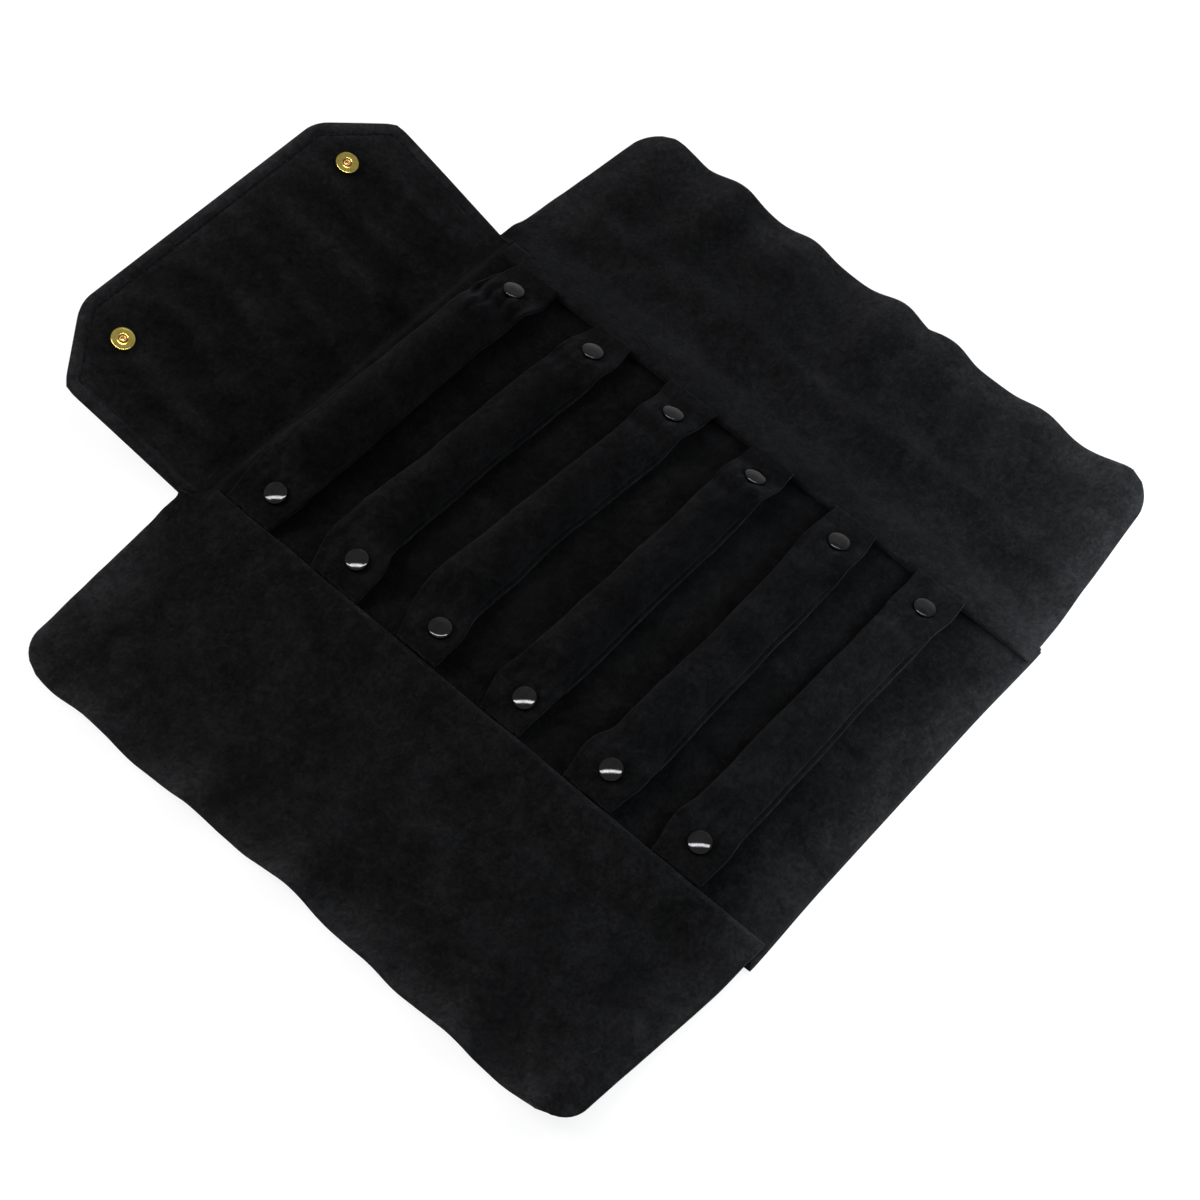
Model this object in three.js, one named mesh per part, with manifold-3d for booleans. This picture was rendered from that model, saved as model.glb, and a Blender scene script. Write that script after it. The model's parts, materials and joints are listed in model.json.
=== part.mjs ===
// Ring pouch: a jewellery roll laid open, with a padded spine, six stuffed ring rolls, two wings and a flap.
// Millimetres. X runs across the spine, Y along it towards the flap, and Z up from the table.
// The origin is on the table under the middle of the grid of snaps.

import * as THREE from 'three';
import { mergeVertices } from 'three/addons/utils/BufferGeometryUtils.js';
import Module from 'manifold-3d';

const wasm = await Module();
wasm.setup();

// Grid of snaps that holds the rolls on the spine
const ROLL_COUNT = 6;
const ROLL_PITCH = 45;
const SNAP_SPAN = 145.4;

// Spine: margins round the grid, plies and padding
const FOLD_MARGIN = 24.5;
const HEM_MARGIN = 43.5;
const SEAM_MARGIN = 16.3;
const WING_LAP = 7.5;
const SPINE_CORNER = 6;
const PLY = 1.2;
const PAD_SLOPE = 7;
const PAD_EDGE = 0.6;

// Closing flap
const FLAP_LENGTH = 95.5;
const FLAP_CLIP_X = 28;
const FLAP_CLIP_Y = 23;
const FOLD_GUTTER = 3.4;
const FLAP_TILT = THREE.MathUtils.degToRad(16);
const FLAP_SNAP_SPAN = 134;
const FLAP_SNAP_REACH = 71.5;

// Wings: soft single plies with a rolled inner hem, waving more towards their free edge
const WING_WIDTH = 105;
const WING_PLY = 1.2;
const WING_TAPER = 7;
const WING_HEM_INSET = 1.5;
const WING_FOLD_INSET = 5;
const WING_PAST_FOLD = 7.5;
const WING_STEP = 0.8;
const WING_CORNER = 10;
const HEM_RADIUS = 1.5;
const WING_DROP_RUN = 26;
const WAVE_PITCH = 45.5;
const WAVE_HEIGHT = 8;
const CREASE_REACH = 46;
const CREASE_HEIGHT = 4;
const CREASE_WIDTH = 7;

// Ring rolls: a suede tube round a stuffing rod, flattened into a tab at each end
const ROLL_PLY = 0.9;
const ROLL_WIDTH = 24;
const ROLL_HEIGHT = 11;
const FIRST_ROLL_HEIGHT = 18;
const TAB_WIDTH = 26;
const TAB_SLIT = 0.4;
const TAB_RUN = 7;
const SWELL_RUN = 18;
const TAB_END_GAP = 2.2;
const TAB_END_TAPER = 3.5;
const TAB_DROOP = 2.8;
const TAB_BLUNTNESS = 0.35;
const ROLL_BLUNTNESS = 0.9;

// Snap fasteners: domed cap and socket riveted through one panel, stud and eyelet through the other
const CAP_RADIUS = 5;
const CAP_RISE = 2.4;
const CAP_EDGE = 0.6;
const BARREL_RADIUS = 1.3;
const FLARE_LIP = 0.5;
const FLARE_THICKNESS = 0.3;
const SOCKET_RADIUS = 4.8;
const FLAP_SOCKET_RADIUS = 5.4;
const SOCKET_FLANGE = 0.9;
const SOCKET_FLOOR = 0.4;
const SOCKET_WALL = 1.1;
const STUD_BASE_RADIUS = 4.5;
const STUD_BASE = 0.6;
const STUD_HEAD_RADIUS = 1.9;
const STUD_NECK = 0.4;
const STUD_RISE = 2;
const STUD_HEAD_SHARE = 0.65;
const EYELET_RADIUS = 4;
const EYELET = 0.4;

// Clearances between plies, seated pieces and snapping faces
const PLY_GAP = 0.2;
const SEAT_GAP = 0.3;
const SNAP_GAP = 0.3;

// Facets of round and curved pieces
const CAP_SIDES = 14;
const SNAP_SIDES = 8;
const HOLE_SIDES = 8;
const HEM_SIDES = 8;
const ROLL_SIDES = 10;
const DOME_STEPS = 3;
const PAD_STEPS = 3;
const SWELL_STEPS = 3;
const CORNER_STEPS = 3;
const WING_ROWS = 30;
const WING_DROP_STEPS = 2;
const WING_FLAT_STEPS = 4;
const WING_CORNER_STEPS = 3;

// Places that follow from those sizes
const SNAP_X = SNAP_SPAN / 2;
const SEAM_X = SNAP_X + SEAM_MARGIN;
const SPINE_HALF = SEAM_X + WING_LAP;
const FIRST_ROLL_Y = (ROLL_COUNT - 1) * ROLL_PITCH / 2;
const FOLD_Y = FIRST_ROLL_Y + FOLD_MARGIN;
const HEM_Y = -FIRST_ROLL_Y - HEM_MARGIN;
const FOLD_RADIUS = PLY + PLY_GAP / 2;
const SPINE_TOP_Y = FOLD_Y - FOLD_RADIUS - SEAT_GAP;
const BARREL_HOLE = BARREL_RADIUS + PLY_GAP;
const FLARE_RADIUS = BARREL_RADIUS + FLARE_LIP;
const SOCKET_BORE = Math.max(STUD_HEAD_RADIUS, FLARE_RADIUS) + SNAP_GAP;
const SOCKET_HEIGHT = STUD_RISE + SNAP_GAP + FLARE_THICKNESS + SOCKET_FLOOR;
const CLOSING_STUD_Y = -ROLL_PITCH;

// Heights of the stacked plies
const DIMPLE_DEPTH = STUD_BASE + STUD_RISE + 2 * PLY_GAP;
const DIMPLE_RADIUS = Math.max(STUD_BASE_RADIUS, EYELET_RADIUS) + SEAT_GAP;
const DIMPLE_MOUTH = DIMPLE_RADIUS + DIMPLE_DEPTH;
const PAD_BOTTOM = PLY + PLY_GAP;
const PAD_THICKNESS = DIMPLE_DEPTH + EYELET;
const LINING_TOP = PAD_BOTTOM + PAD_THICKNESS + PLY_GAP + PLY;
const TAB_THICKNESS = 2 * ROLL_PLY + TAB_SLIT;
const TAB_BOTTOM = LINING_TOP + STUD_BASE + SOCKET_HEIGHT + 3 * PLY_GAP;
const ROLL_BOTTOM = LINING_TOP + SEAT_GAP;
const TAB_END = SEAM_X - HEM_RADIUS - TAB_END_GAP;
const SEAM_Z = LINING_TOP + SEAT_GAP + HEM_RADIUS;

// Overrun of cutting tools past the faces that they cut
const CUT = 1;

// Materials
const suede = (color) => new THREE.MeshStandardMaterial({ color, roughness: 0.95, metalness: 0 });
const metal = (color, roughness) => new THREE.MeshStandardMaterial({ color, roughness, metalness: 1 });
const COVER_BLACK = 0x141416;
const LINING_BLACK = 0x19191c;
const WING_BLACK = 0x1b1b1f;
const ROLL_BLACK = 0x1d1c1f;
const FELT_GREY = 0x3b3b3d;
const STUFFING_WHITE = 0xd8d3c8;
const GUNMETAL = 0x2a2b2e;
const BRASS = 0xa8894a;

// A closed triangle list from points and indices
function triangles(points, index) {
  const geometry = new THREE.BufferGeometry();
  geometry.setAttribute('position', new THREE.Float32BufferAttribute(points.flatMap((p) => p.toArray()), 3));
  geometry.setIndex(index);
  return geometry;
}

// A solid for joining and cutting, from a closed geometry
function solid(geometry) {
  const bare = geometry.clone();
  bare.deleteAttribute('normal');
  bare.deleteAttribute('uv');
  const merged = mergeVertices(bare, 1e-5);
  const index = merged.getIndex().array;
  const kept = [];
  for (let i = 0; i < index.length; i += 3) {
    const [a, b, c] = index.slice(i, i + 3);
    if (a !== b && b !== c && c !== a) kept.push(a, b, c);
  }
  return new wasm.Manifold(new wasm.Mesh({
    numProp: 3,
    vertProperties: Float32Array.from(merged.getAttribute('position').array),
    triVerts: Uint32Array.from(kept),
  }));
}

// A geometry back from a solid
function geometryOf(body) {
  const mesh = body.getMesh();
  const geometry = new THREE.BufferGeometry();
  geometry.setAttribute('position', new THREE.BufferAttribute(mesh.vertProperties, 3));
  geometry.setIndex(new THREE.BufferAttribute(mesh.triVerts, 1));
  geometry.computeVertexNormals();
  return geometry;
}

function piece(name, body, material) {
  const mesh = new THREE.Mesh(geometryOf(body), material);
  mesh.name = name;
  return mesh;
}

// A solid through rings of equal length, turning by the right hand about the way they advance
function loft(rings) {
  const count = rings[0].length;
  const last = (rings.length - 1) * count;
  const index = [];
  for (let r = 0; r < last; r += count) {
    for (let j = 0; j < count; j += 1) {
      const k = (j + 1) % count;
      index.push(r + j, r + k, r + count + j, r + k, r + count + k, r + count + j);
    }
  }
  for (let j = 1; j < count - 1; j += 1) {
    index.push(0, j + 1, j, last, last + j, last + j + 1);
  }
  return solid(triangles(rings.flat(), index));
}

// A thin solid between an upper and a lower grid of points, columns along +X and rows along +Y
function sheet(columns, rows, pointAt) {
  const points = [];
  for (const side of [1, -1]) {
    for (let i = 0; i <= columns; i += 1) {
      for (let j = 0; j <= rows; j += 1) points.push(pointAt(i, j, side));
    }
  }
  const under = points.length / 2;
  const at = (i, j) => i * (rows + 1) + j;
  const index = [];
  const quad = (a, b, c, d) => index.push(a, b, c, a, c, d);
  for (let i = 0; i < columns; i += 1) {
    for (let j = 0; j < rows; j += 1) {
      const [a, b, c, d] = [at(i, j), at(i + 1, j), at(i + 1, j + 1), at(i, j + 1)];
      quad(a, b, c, d);
      quad(under + d, under + c, under + b, under + a);
    }
    quad(at(i + 1, 0), at(i, 0), under + at(i, 0), under + at(i + 1, 0));
    quad(at(i, rows), at(i + 1, rows), under + at(i + 1, rows), under + at(i, rows));
  }
  for (let j = 0; j < rows; j += 1) {
    quad(at(0, j), at(0, j + 1), under + at(0, j + 1), under + at(0, j));
    quad(at(columns, j + 1), at(columns, j), under + at(columns, j), under + at(columns, j + 1));
  }
  return solid(triangles(points, index));
}

// A solid of revolution about Z from radius and height pairs, listed anticlockwise
function revolve(profile, sides) {
  const points = profile.map(([radius, height]) => new THREE.Vector2(radius, height));
  return solid(new THREE.LatheGeometry(points, sides).rotateX(Math.PI / 2));
}

// An upright round cutter
function peg(radius, low, high, sides) {
  return revolve([[0, low], [radius, low], [radius, high], [0, high]], sides);
}

// Points of a quarter circle of radius one, from its side to its top
function quarter(steps) {
  return Array.from({ length: steps + 1 }, (_, k) => {
    const angle = k / steps * Math.PI / 2;
    return [k === steps ? 0 : Math.cos(angle), Math.sin(angle)];
  });
}

function smooth(from, to, value) {
  return THREE.MathUtils.smoothstep(value, from, to);
}

// Outline of the spine at a height, drawn in from its edges
function spineRing(inset, z) {
  const radius = Math.max(SPINE_CORNER - inset, PLY_GAP);
  const right = SPINE_HALF - inset - radius;
  const top = SPINE_TOP_Y - inset - radius;
  const bottom = HEM_Y + inset + radius;
  const corners = [[right, top], [-right, top], [-right, bottom], [right, bottom]];
  return corners.flatMap(([x, y], quarter) => Array.from({ length: CORNER_STEPS + 1 }, (_, step) => {
    const angle = (quarter + step / CORNER_STEPS) * Math.PI / 2;
    return new THREE.Vector3(x + radius * Math.cos(angle), y + radius * Math.sin(angle), z);
  }));
}

// The padded form of the spine: an upright lip round the edge, then a rounded slope up to the flat top
function paddedForm(inset, drop, bottom) {
  const lip = PAD_BOTTOM + PAD_EDGE + PLY_GAP + PLY;
  const rise = LINING_TOP - lip;
  const slope = quarter(PAD_STEPS).map(([across, up]) => {
    return spineRing(inset + PAD_SLOPE * (1 - across), lip + rise * up - drop);
  });
  return loft([spineRing(inset, bottom), ...slope]);
}

const rollRow = (n) => FIRST_ROLL_Y - n * ROLL_PITCH;
const rollNumbers = Array.from({ length: ROLL_COUNT }, (_, n) => n);
const snapPlaces = rollNumbers.flatMap((n) => [
  { name: `roll_${n + 1}_left`, x: -SNAP_X, y: rollRow(n) },
  { name: `roll_${n + 1}_right`, x: SNAP_X, y: rollRow(n) },
]);
const closingPlaces = [
  { name: 'left', x: -FLAP_SNAP_SPAN / 2, y: CLOSING_STUD_Y },
  { name: 'right', x: FLAP_SNAP_SPAN / 2, y: CLOSING_STUD_Y },
];

function cutAt(body, places, cutter) {
  return places.reduce((rest, place) => rest.subtract(cutter.translate([place.x, place.y, 0])), body);
}

// Spine lining: a shallow tray turned down round its edge, pierced for the studs
function spineLining() {
  const shell = paddedForm(0, 0, PAD_BOTTOM).subtract(paddedForm(PLY, PLY, PAD_BOTTOM - CUT));
  return cutAt(shell, snapPlaces, peg(BARREL_HOLE, PAD_BOTTOM, LINING_TOP + CUT, HOLE_SIDES));
}

// Felt that fills the tray, punched round the eyelets of the studs and over the dimples of the cover
function spineInterlining() {
  const felt = paddedForm(PLY + PLY_GAP, PLY + PLY_GAP, PAD_BOTTOM);
  const eyeletHole = peg(EYELET_RADIUS + SEAT_GAP, PAD_BOTTOM - CUT, LINING_TOP, HOLE_SIDES);
  const dimpleHole = peg(DIMPLE_MOUTH + SEAT_GAP, PAD_BOTTOM - CUT, LINING_TOP, SNAP_SIDES);
  return cutAt(cutAt(felt, snapPlaces, eyeletHole), closingPlaces, dimpleHole);
}

// Outer ply of the spine, dimpled up round each closing stud so that the spine lies flat
function spineCover() {
  const plate = loft([spineRing(0, 0), spineRing(0, PLY)]);
  const rim = DIMPLE_MOUTH + PLY;
  const cup = revolve([
    [BARREL_HOLE, DIMPLE_DEPTH],
    [DIMPLE_RADIUS, DIMPLE_DEPTH],
    [DIMPLE_MOUTH, 0],
    [rim, 0],
    [rim, PLY],
    [DIMPLE_MOUTH, PLY],
    [DIMPLE_RADIUS, DIMPLE_DEPTH + PLY],
    [BARREL_HOLE, DIMPLE_DEPTH + PLY],
    [BARREL_HOLE, DIMPLE_DEPTH],
  ], SNAP_SIDES);
  const pierced = cutAt(plate, closingPlaces, peg(DIMPLE_MOUTH, -CUT, PLY + CUT, SNAP_SIDES));
  return closingPlaces.reduce((rest, place) => rest.add(cup.translate([place.x, place.y, 0])), pierced);
}

// Stud and eyelet riveted through one ply, whose outer face is at height zero
function stud() {
  const eyeletTop = -PLY - PLY_GAP;
  const base = PLY_GAP + STUD_BASE;
  const neckRadius = STUD_HEAD_RADIUS - STUD_NECK;
  return revolve([
    [0, eyeletTop - EYELET],
    [EYELET_RADIUS, eyeletTop - EYELET],
    [EYELET_RADIUS, eyeletTop],
    [BARREL_RADIUS, eyeletTop],
    [BARREL_RADIUS, PLY_GAP],
    [STUD_BASE_RADIUS, PLY_GAP],
    [STUD_BASE_RADIUS, base],
    [neckRadius, base],
    [STUD_HEAD_RADIUS, base + STUD_RISE * STUD_HEAD_SHARE],
    [neckRadius, base + STUD_RISE],
    [0, base + STUD_RISE],
  ], SNAP_SIDES);
}

// Domed cap whose barrel passes through a panel and flares inside the socket behind it
function cap(panel) {
  const flareTop = -panel - PLY_GAP - SOCKET_FLOOR;
  const tip = flareTop - FLARE_THICKNESS;
  const dome = quarter(DOME_STEPS).map(([across, up]) => {
    return [CAP_RADIUS * across, PLY_GAP + CAP_EDGE + (CAP_RISE - CAP_EDGE) * up];
  });
  return revolve([
    [0, tip],
    [FLARE_RADIUS, tip],
    [FLARE_RADIUS, flareTop],
    [BARREL_RADIUS, flareTop],
    [BARREL_RADIUS, PLY_GAP],
    [CAP_RADIUS, PLY_GAP],
    ...dome,
  ], CAP_SIDES);
}

// Socket under a panel whose lower face is at height zero: a flange and a bored hub that opens downwards
function socket(radius, sides) {
  const top = -PLY_GAP;
  const hub = SOCKET_BORE + SOCKET_WALL;
  return revolve([
    [BARREL_HOLE, top],
    [BARREL_HOLE, top - SOCKET_FLOOR],
    [SOCKET_BORE, top - SOCKET_FLOOR],
    [SOCKET_BORE, top - SOCKET_HEIGHT],
    [hub, top - SOCKET_HEIGHT],
    [radius, top - SOCKET_FLANGE],
    [radius, top],
    [BARREL_HOLE, top],
  ], sides);
}

// Cap and socket of the flap, crimped tight on each other through both of its plies
function flapSnap() {
  const panel = 2 * FOLD_RADIUS;
  const floorTop = -panel - PLY_GAP;
  const crimp = peg(BARREL_HOLE, floorTop - SOCKET_FLOOR, floorTop, CAP_SIDES);
  return cap(panel).add(crimp).add(socket(FLAP_SOCKET_RADIUS, CAP_SIDES).translate([0, 0, -panel]));
}

// Half width, height and underside of a roll at a distance from its middle
function rollForm(distance, height) {
  const stuffed = 1 - smooth(SNAP_X - TAB_RUN - SWELL_RUN, SNAP_X - TAB_RUN, distance);
  const taper = smooth(SNAP_X, TAB_END, distance);
  const droop = smooth(SNAP_X + CAP_RADIUS, TAB_END, distance);
  const mix = THREE.MathUtils.lerp;
  return {
    halfWidth: mix(TAB_WIDTH, ROLL_WIDTH, stuffed) / 2 - TAB_END_TAPER * taper,
    height: mix(TAB_THICKNESS, height, stuffed),
    bottom: mix(TAB_BOTTOM - TAB_DROOP * droop, ROLL_BOTTOM, stuffed),
    bluntness: mix(TAB_BLUNTNESS, ROLL_BLUNTNESS, stuffed),
  };
}

// Section of a roll, drawn in all round by an inset
function rollRing(x, height, inset) {
  const form = rollForm(Math.abs(x), height);
  const middle = form.bottom + form.height / 2;
  const power = (value) => Math.sign(value) * Math.abs(value) ** form.bluntness;
  return Array.from({ length: ROLL_SIDES }, (_, side) => {
    const angle = (side + 0.5) / ROLL_SIDES * 2 * Math.PI;
    const y = (form.halfWidth - inset) * power(Math.cos(angle));
    const z = middle + (form.height / 2 - inset) * power(Math.sin(angle));
    return new THREE.Vector3(x, y, z);
  });
}

// Distances from the middle of a roll where its form changes, mirrored on both sides of it
function stations(distances) {
  return [...distances.map((d) => -d).reverse(), ...distances];
}

const swellStart = SNAP_X - TAB_RUN - SWELL_RUN;
const swellSteps = Array.from({ length: SWELL_STEPS }, (_, k) => swellStart + SWELL_RUN * k / SWELL_STEPS);
const tabSteps = [SNAP_X - TAB_RUN, SNAP_X, SNAP_X + CAP_RADIUS, TAB_END];

// Suede tube of a roll, open at the flat ends and pierced for the snaps
function rollCover(height) {
  const rings = (inset) => stations([...swellSteps, ...tabSteps]).map((x) => rollRing(x, height, inset));
  const outside = loft(rings(0));
  const inside = rings(ROLL_PLY);
  inside.unshift(inside[0].map((p) => p.clone().setX(p.x - CUT)));
  inside.push(inside.at(-1).map((p) => p.clone().setX(p.x + CUT)));
  const places = [{ x: -SNAP_X, y: 0 }, { x: SNAP_X, y: 0 }];
  const hole = peg(BARREL_HOLE, TAB_BOTTOM - CUT, TAB_BOTTOM + TAB_THICKNESS + CUT, HOLE_SIDES);
  return cutAt(outside.subtract(loft(inside)), places, hole.rotate([0, 0, 180 / HOLE_SIDES]));
}

// Stuffing rod that fills the round stretch of a roll
function rollCore(height) {
  const inset = ROLL_PLY + SEAT_GAP;
  return loft(stations(swellSteps).map((x) => rollRing(x, height, inset)));
}

// Wing in its own frame: the seam lies along Y at the origin and the free edge is towards +X
function wing(crease) {
  const low = HEM_Y + WING_HEM_INSET;
  const seamEnd = FOLD_Y - WING_FOLD_INSET;
  const besideFlap = WING_LAP + SEAT_GAP;
  const flatEnd = WING_WIDTH - WING_CORNER;
  const run = (from, to, steps) => Array.from({ length: steps }, (_, k) => from + (to - from) * k / steps);
  const arc = quarter(WING_CORNER_STEPS).map(([, along]) => flatEnd + WING_CORNER * along);
  const reaches = [
    0,
    besideFlap,
    ...run(besideFlap + WING_STEP, WING_DROP_RUN, WING_DROP_STEPS),
    ...run(WING_DROP_RUN, flatEnd, WING_FLAT_STEPS),
    ...arc,
  ];
  const heightAt = (reach, y) => {
    const drop = (SEAM_Z - WING_PLY / 2) * smooth(0, WING_DROP_RUN, reach);
    const swing = Math.cos(2 * Math.PI * y / WAVE_PITCH);
    const wave = WAVE_HEIGHT * smooth(WING_DROP_RUN, WING_WIDTH, reach) * (1 + swing) / 2;
    const fold = crease * CREASE_HEIGHT * Math.exp(-(((reach - CREASE_REACH) / CREASE_WIDTH) ** 2));
    return wave + fold - drop;
  };
  const cloth = sheet(reaches.length - 1, WING_ROWS, (i, j, side) => {
    const reach = reaches[i];
    const past = Math.max(reach - flatEnd, 0);
    const round = WING_CORNER - Math.sqrt(Math.max(WING_CORNER ** 2 - past ** 2, 0));
    const inset = WING_TAPER * reach / WING_WIDTH + round;
    const high = reach > besideFlap ? FOLD_Y + WING_PAST_FOLD : seamEnd;
    const y = THREE.MathUtils.lerp(low + inset, high - inset, j / WING_ROWS);
    return new THREE.Vector3(reach, y, heightAt(reach, y) + side * WING_PLY / 2);
  });
  const hem = new THREE.CylinderGeometry(HEM_RADIUS, HEM_RADIUS, seamEnd - low, HEM_SIDES);
  return cloth.add(solid(hem).translate([0, (low + seamEnd) / 2, 0]));
}

// Plies of the flap in its own frame: the fold lies along X at the origin and the free edge is towards +Y
function flapPly(start, bottom) {
  const clipX = SPINE_HALF - FLAP_CLIP_X;
  const clipY = FLAP_LENGTH - FLAP_CLIP_Y;
  const shape = new THREE.Shape();
  shape.moveTo(-SPINE_HALF, start);
  shape.lineTo(SPINE_HALF, start);
  shape.lineTo(SPINE_HALF, clipY);
  shape.lineTo(clipX, FLAP_LENGTH);
  shape.lineTo(-clipX, FLAP_LENGTH);
  shape.lineTo(-SPINE_HALF, clipY);
  shape.closePath();
  const ply = solid(new THREE.ExtrudeGeometry(shape, { depth: PLY, bevelEnabled: false }));
  const places = [-1, 1].map((hand) => ({ x: hand * FLAP_SNAP_SPAN / 2, y: FLAP_SNAP_REACH }));
  return cutAt(ply, places, peg(BARREL_HOLE, -CUT, PLY + CUT, HOLE_SIDES)).translate([0, 0, bottom]);
}

function flapCover() {
  const fold = new THREE.CylinderGeometry(FOLD_RADIUS, FOLD_RADIUS, 2 * SPINE_HALF, HEM_SIDES);
  return flapPly(0, -FOLD_RADIUS).add(solid(fold.rotateZ(Math.PI / 2)));
}

function flapLining() {
  return flapPly(FOLD_RADIUS + FOLD_GUTTER, PLY_GAP / 2);
}

function buildSpine() {
  const spine = new THREE.Group();
  spine.add(piece('spine_cover', spineCover(), suede(COVER_BLACK)));
  spine.add(piece('spine_interlining', spineInterlining(), suede(FELT_GREY)));
  spine.add(piece('spine_lining', spineLining(), suede(LINING_BLACK)));
  for (const place of snapPlaces) {
    const mesh = piece(`${place.name}_stud`, stud(), metal(GUNMETAL, 0.35));
    mesh.position.set(place.x, place.y, LINING_TOP);
    spine.add(mesh);
  }
  for (const place of closingPlaces) {
    const mesh = piece(`closing_stud_${place.name}`, stud(), metal(BRASS, 0.35));
    mesh.position.set(place.x, place.y, DIMPLE_DEPTH);
    mesh.rotation.x = Math.PI;
    spine.add(mesh);
  }
  return spine;
}

function buildRoll(n) {
  const height = n === 0 ? FIRST_ROLL_HEIGHT : ROLL_HEIGHT;
  const roll = new THREE.Group();
  roll.position.y = rollRow(n);
  roll.add(piece(`roll_${n + 1}_cover`, rollCover(height), suede(ROLL_BLACK)));
  roll.add(piece(`roll_${n + 1}_core`, rollCore(height), suede(STUFFING_WHITE)));
  for (const [side, x] of [['left', -SNAP_X], ['right', SNAP_X]]) {
    const top = piece(`roll_${n + 1}_${side}_cap`, cap(TAB_THICKNESS), metal(GUNMETAL, 0.2));
    top.position.set(x, 0, TAB_BOTTOM + TAB_THICKNESS);
    const under = piece(`roll_${n + 1}_${side}_socket`, socket(SOCKET_RADIUS, SNAP_SIDES), metal(GUNMETAL, 0.35));
    under.position.set(x, 0, TAB_BOTTOM);
    roll.add(top, under);
  }
  return roll;
}

function buildFlap() {
  const flap = new THREE.Group();
  flap.position.set(0, FOLD_Y, FOLD_RADIUS);
  flap.rotation.x = FLAP_TILT;
  flap.add(piece('flap_cover', flapCover(), suede(COVER_BLACK)));
  flap.add(piece('flap_lining', flapLining(), suede(LINING_BLACK)));
  for (const [side, x] of [['left', -FLAP_SNAP_SPAN / 2], ['right', FLAP_SNAP_SPAN / 2]]) {
    const snap = piece(`flap_${side}_snap`, flapSnap(), metal(BRASS, 0.35));
    snap.position.set(x, FLAP_SNAP_REACH, -FOLD_RADIUS);
    snap.rotation.x = Math.PI;
    flap.add(snap);
  }
  return flap;
}

function buildWings() {
  const right = piece('right_wing', wing(1), suede(WING_BLACK));
  right.position.set(SEAM_X, 0, SEAM_Z);
  const left = piece('left_wing', wing(0).mirror([1, 0, 0]), suede(WING_BLACK));
  left.position.set(-SEAM_X, 0, SEAM_Z);
  const wings = new THREE.Group();
  wings.add(left, right);
  return wings;
}

const pouch = new THREE.Group();
pouch.add(buildSpine(), buildFlap(), buildWings(), ...rollNumbers.map(buildRoll));

export default pouch;
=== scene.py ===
"""Ring pouch laid open: suede spine, wings and flap, six stuffed ring rolls, and their snaps."""

import json
from math import atan2, cos, hypot, pi, radians, sin, tan

import bpy
import numpy as np
from mathutils import Matrix, Vector, noise


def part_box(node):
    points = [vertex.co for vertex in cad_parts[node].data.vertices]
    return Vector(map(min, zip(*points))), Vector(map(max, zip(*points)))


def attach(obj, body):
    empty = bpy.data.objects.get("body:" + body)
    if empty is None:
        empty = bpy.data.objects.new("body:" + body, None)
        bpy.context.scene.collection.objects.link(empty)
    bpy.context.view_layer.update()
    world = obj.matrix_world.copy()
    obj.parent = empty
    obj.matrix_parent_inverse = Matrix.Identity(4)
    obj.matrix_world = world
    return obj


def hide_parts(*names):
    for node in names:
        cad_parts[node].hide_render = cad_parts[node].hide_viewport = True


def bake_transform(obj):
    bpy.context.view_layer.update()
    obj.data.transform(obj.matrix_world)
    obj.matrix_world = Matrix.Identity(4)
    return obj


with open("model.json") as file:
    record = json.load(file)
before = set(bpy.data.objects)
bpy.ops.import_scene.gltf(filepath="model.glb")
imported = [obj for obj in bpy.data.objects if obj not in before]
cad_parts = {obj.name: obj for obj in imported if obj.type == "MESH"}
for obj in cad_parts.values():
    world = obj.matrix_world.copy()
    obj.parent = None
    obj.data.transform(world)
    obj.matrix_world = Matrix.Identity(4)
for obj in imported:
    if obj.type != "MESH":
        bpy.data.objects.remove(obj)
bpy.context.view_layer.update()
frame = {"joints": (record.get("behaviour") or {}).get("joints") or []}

MM = 0.001


def mm(*sizes):
    return [size * MM for size in sizes]


def centre(node):
    low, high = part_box(node)
    return (low + high) / 2


# Camera of the photograph, in the part's frame, for a square picture
CAMERA_PLACE = (-0.4928, -0.2829, 0.9171)
CAMERA_BACK = (-0.44979, -0.25407, 0.85624)
CAMERA_UP = (0.6162, 0.6057, 0.50342)
CAMERA_LENS = 78.75
SENSOR = 36

# Studio
FLOOR_REACH = 6
FLOOR_GREY = (0.86, 0.86, 0.86, 1)
GLARE = (0.88, 0.96, 1.0)

# Joints, which give the fold lines
JOINTS = {joint["name"]: joint for joint in frame["joints"]}
SEAM = Vector(JOINTS["right_wing_fold"]["pos_m"])
FOLD = Vector(JOINTS["flap_fold"]["pos_m"])
SIDES = {-1: "left", 1: "right"}

# Plies
PLY = 1.2 * MM
PLY_GAP = 0.1 * MM
ROLL_PLY = 0.9 * MM
EDGE_ROUND = 0.35
GROOVE_WIDTH = 0.9 * MM

# Painted highlight along outer edges and on ripple crests: how much lighter it makes the suede
PAINTED_GLOW_GAIN = 1.8

# Spine, with lumps of slack given as height and size here and below
SPINE_LOW, SPINE_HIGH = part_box("spine_lining")
SPINE_WIDE = SPINE_HIGH.x - SPINE_LOW.x
SPINE_TALL = SPINE_HIGH.y - SPINE_LOW.y
SPINE_STEP = 2.2 * MM
PAD_SLOPE = 7 * MM
PAD_ROUND = 0.93 * PAD_SLOPE
PAD_STEPS = 6
PAD_LIP = 2 * MM
WALL_LEAN = 0.05 * PLY
WALL_MIDDLE = (0.4, 0.6)
SPINE_SLACK = [mm(0.9, 26), mm(0.5, 9)]
HEM_STITCH = 6 * MM
HEM_GROOVE = 0.6 * MM
HEM_THREAD_HALF = 86 * MM
HEM_SIDE_PULL = 1.44 * MM
HEM_DOWN_PULL = mm(1.08, 1.98)
COVER_SLACK = mm(0.1, 20)
STUD_DIMPLE = 3 * MM

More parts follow.
